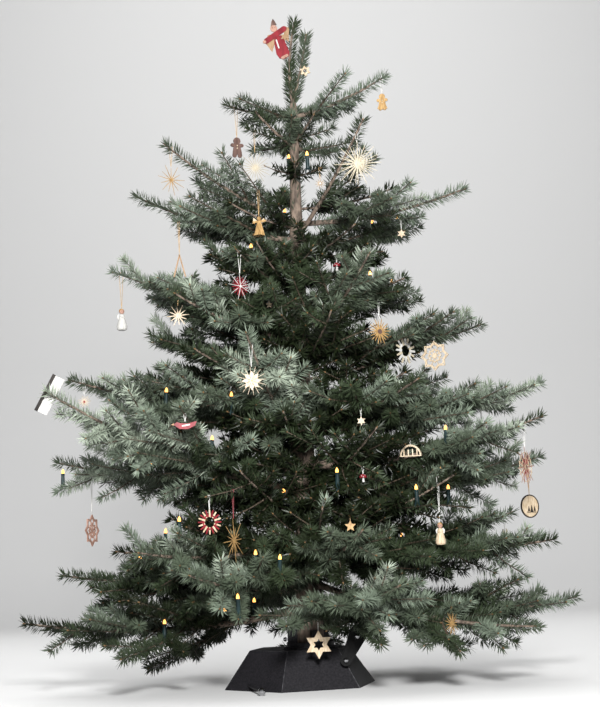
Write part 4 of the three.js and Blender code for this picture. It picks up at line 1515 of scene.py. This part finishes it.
hang_in_front()
hang_behind()
tie_on_leader()
push_card_on()
add_lamps()
shoots = without_blocked_twigs()
make_trunk()
make_stems()
make_buds()
make_needles()
finish_stand()
finish_decorations()

# The stage, in metres: a pale floor that sweeps up behind, soft lights and the photo's camera
SWEEP_START = 4.5
SWEEP_RADIUS = 1.8
WALL_TOP = 11.0
STAGE_HALF_WIDTH = 16.0
STAGE_FRONT = -12.0
# Each light's name, place, target, size and power
LIGHTS = [
    ("front_light", (0.15, -3.3, 1.25), (0, 0, 0.85), 0.45, 265),
    ("top_light", (-0.6, -0.4, 4.0), (0, 0, 0.9), 2.5, 45),
    ("back_light", (-0.6, 3.2, 3.0), (0, 0, 1.0), 1.6, 50),
    ("wall_light", (0.0, 1.8, 5.6), (0, 6.3, 2.2), 3.0, 190),
]


def make_floor():
    turns = np.linspace(-math.pi / 2, 0, 13)
    ys = [STAGE_FRONT, *(SWEEP_START + SWEEP_RADIUS * np.cos(turns)), SWEEP_START + SWEEP_RADIUS]
    zs = [0.0, *(SWEEP_RADIUS * (1 + np.sin(turns))), WALL_TOP]
    vertices = [(x, y, z) for x in (-STAGE_HALF_WIDTH, STAGE_HALF_WIDTH) for y, z in zip(ys, zs)]
    count = len(ys)
    faces = [(row, count + row, count + row + 1, row + 1) for row in range(count - 1)]
    mesh = bpy.data.meshes.new("floor")
    mesh.from_pydata(vertices, [], faces)
    mesh.shade_smooth()
    mesh.materials.append(principled("pale_floor", (0.64, 0.64, 0.635), 0.85))
    floor = bpy.data.objects.new("floor", mesh)
    bpy.context.scene.collection.objects.link(floor)


def make_lights():
    for name, place, target, size, power in LIGHTS:
        data = bpy.data.lights.new(name, "AREA")
        data.size = size
        data.energy = power
        lamp = bpy.data.objects.new(name, data)
        lamp.location = place
        lamp.rotation_euler = (Vector(target) - Vector(place)).to_track_quat("-Z", "Y").to_euler()
        bpy.context.scene.collection.objects.link(lamp)
    world = bpy.context.scene.world or bpy.data.worlds.new("studio")
    bpy.context.scene.world = world
    world.use_nodes = True
    background = world.node_tree.nodes["Background"]
    background.inputs["Color"].default_value = (0.92, 0.92, 0.95, 1.0)
    background.inputs["Strength"].default_value = 0.24


def make_camera():
    data = bpy.data.cameras.new("photo_camera")
    data.sensor_width = SENSOR_WIDTH
    data.lens = FOCAL_PIXELS * SENSOR_WIDTH / PHOTO_HEIGHT
    data.clip_end = 100.0
    camera = bpy.data.objects.new("photo_camera", data)
    columns = np.column_stack([CAMERA_RIGHT, CAMERA_UP, -CAMERA_AHEAD])
    turn = Matrix(columns.tolist()).to_4x4()
    camera.matrix_world = Matrix.Translation(Vector(CAMERA_PLACE * MM)) @ turn
    bpy.context.scene.collection.objects.link(camera)
    bpy.context.scene.camera = camera


make_floor()
make_lights()
make_camera()
bpy.context.scene.view_settings.view_transform = "Standard"
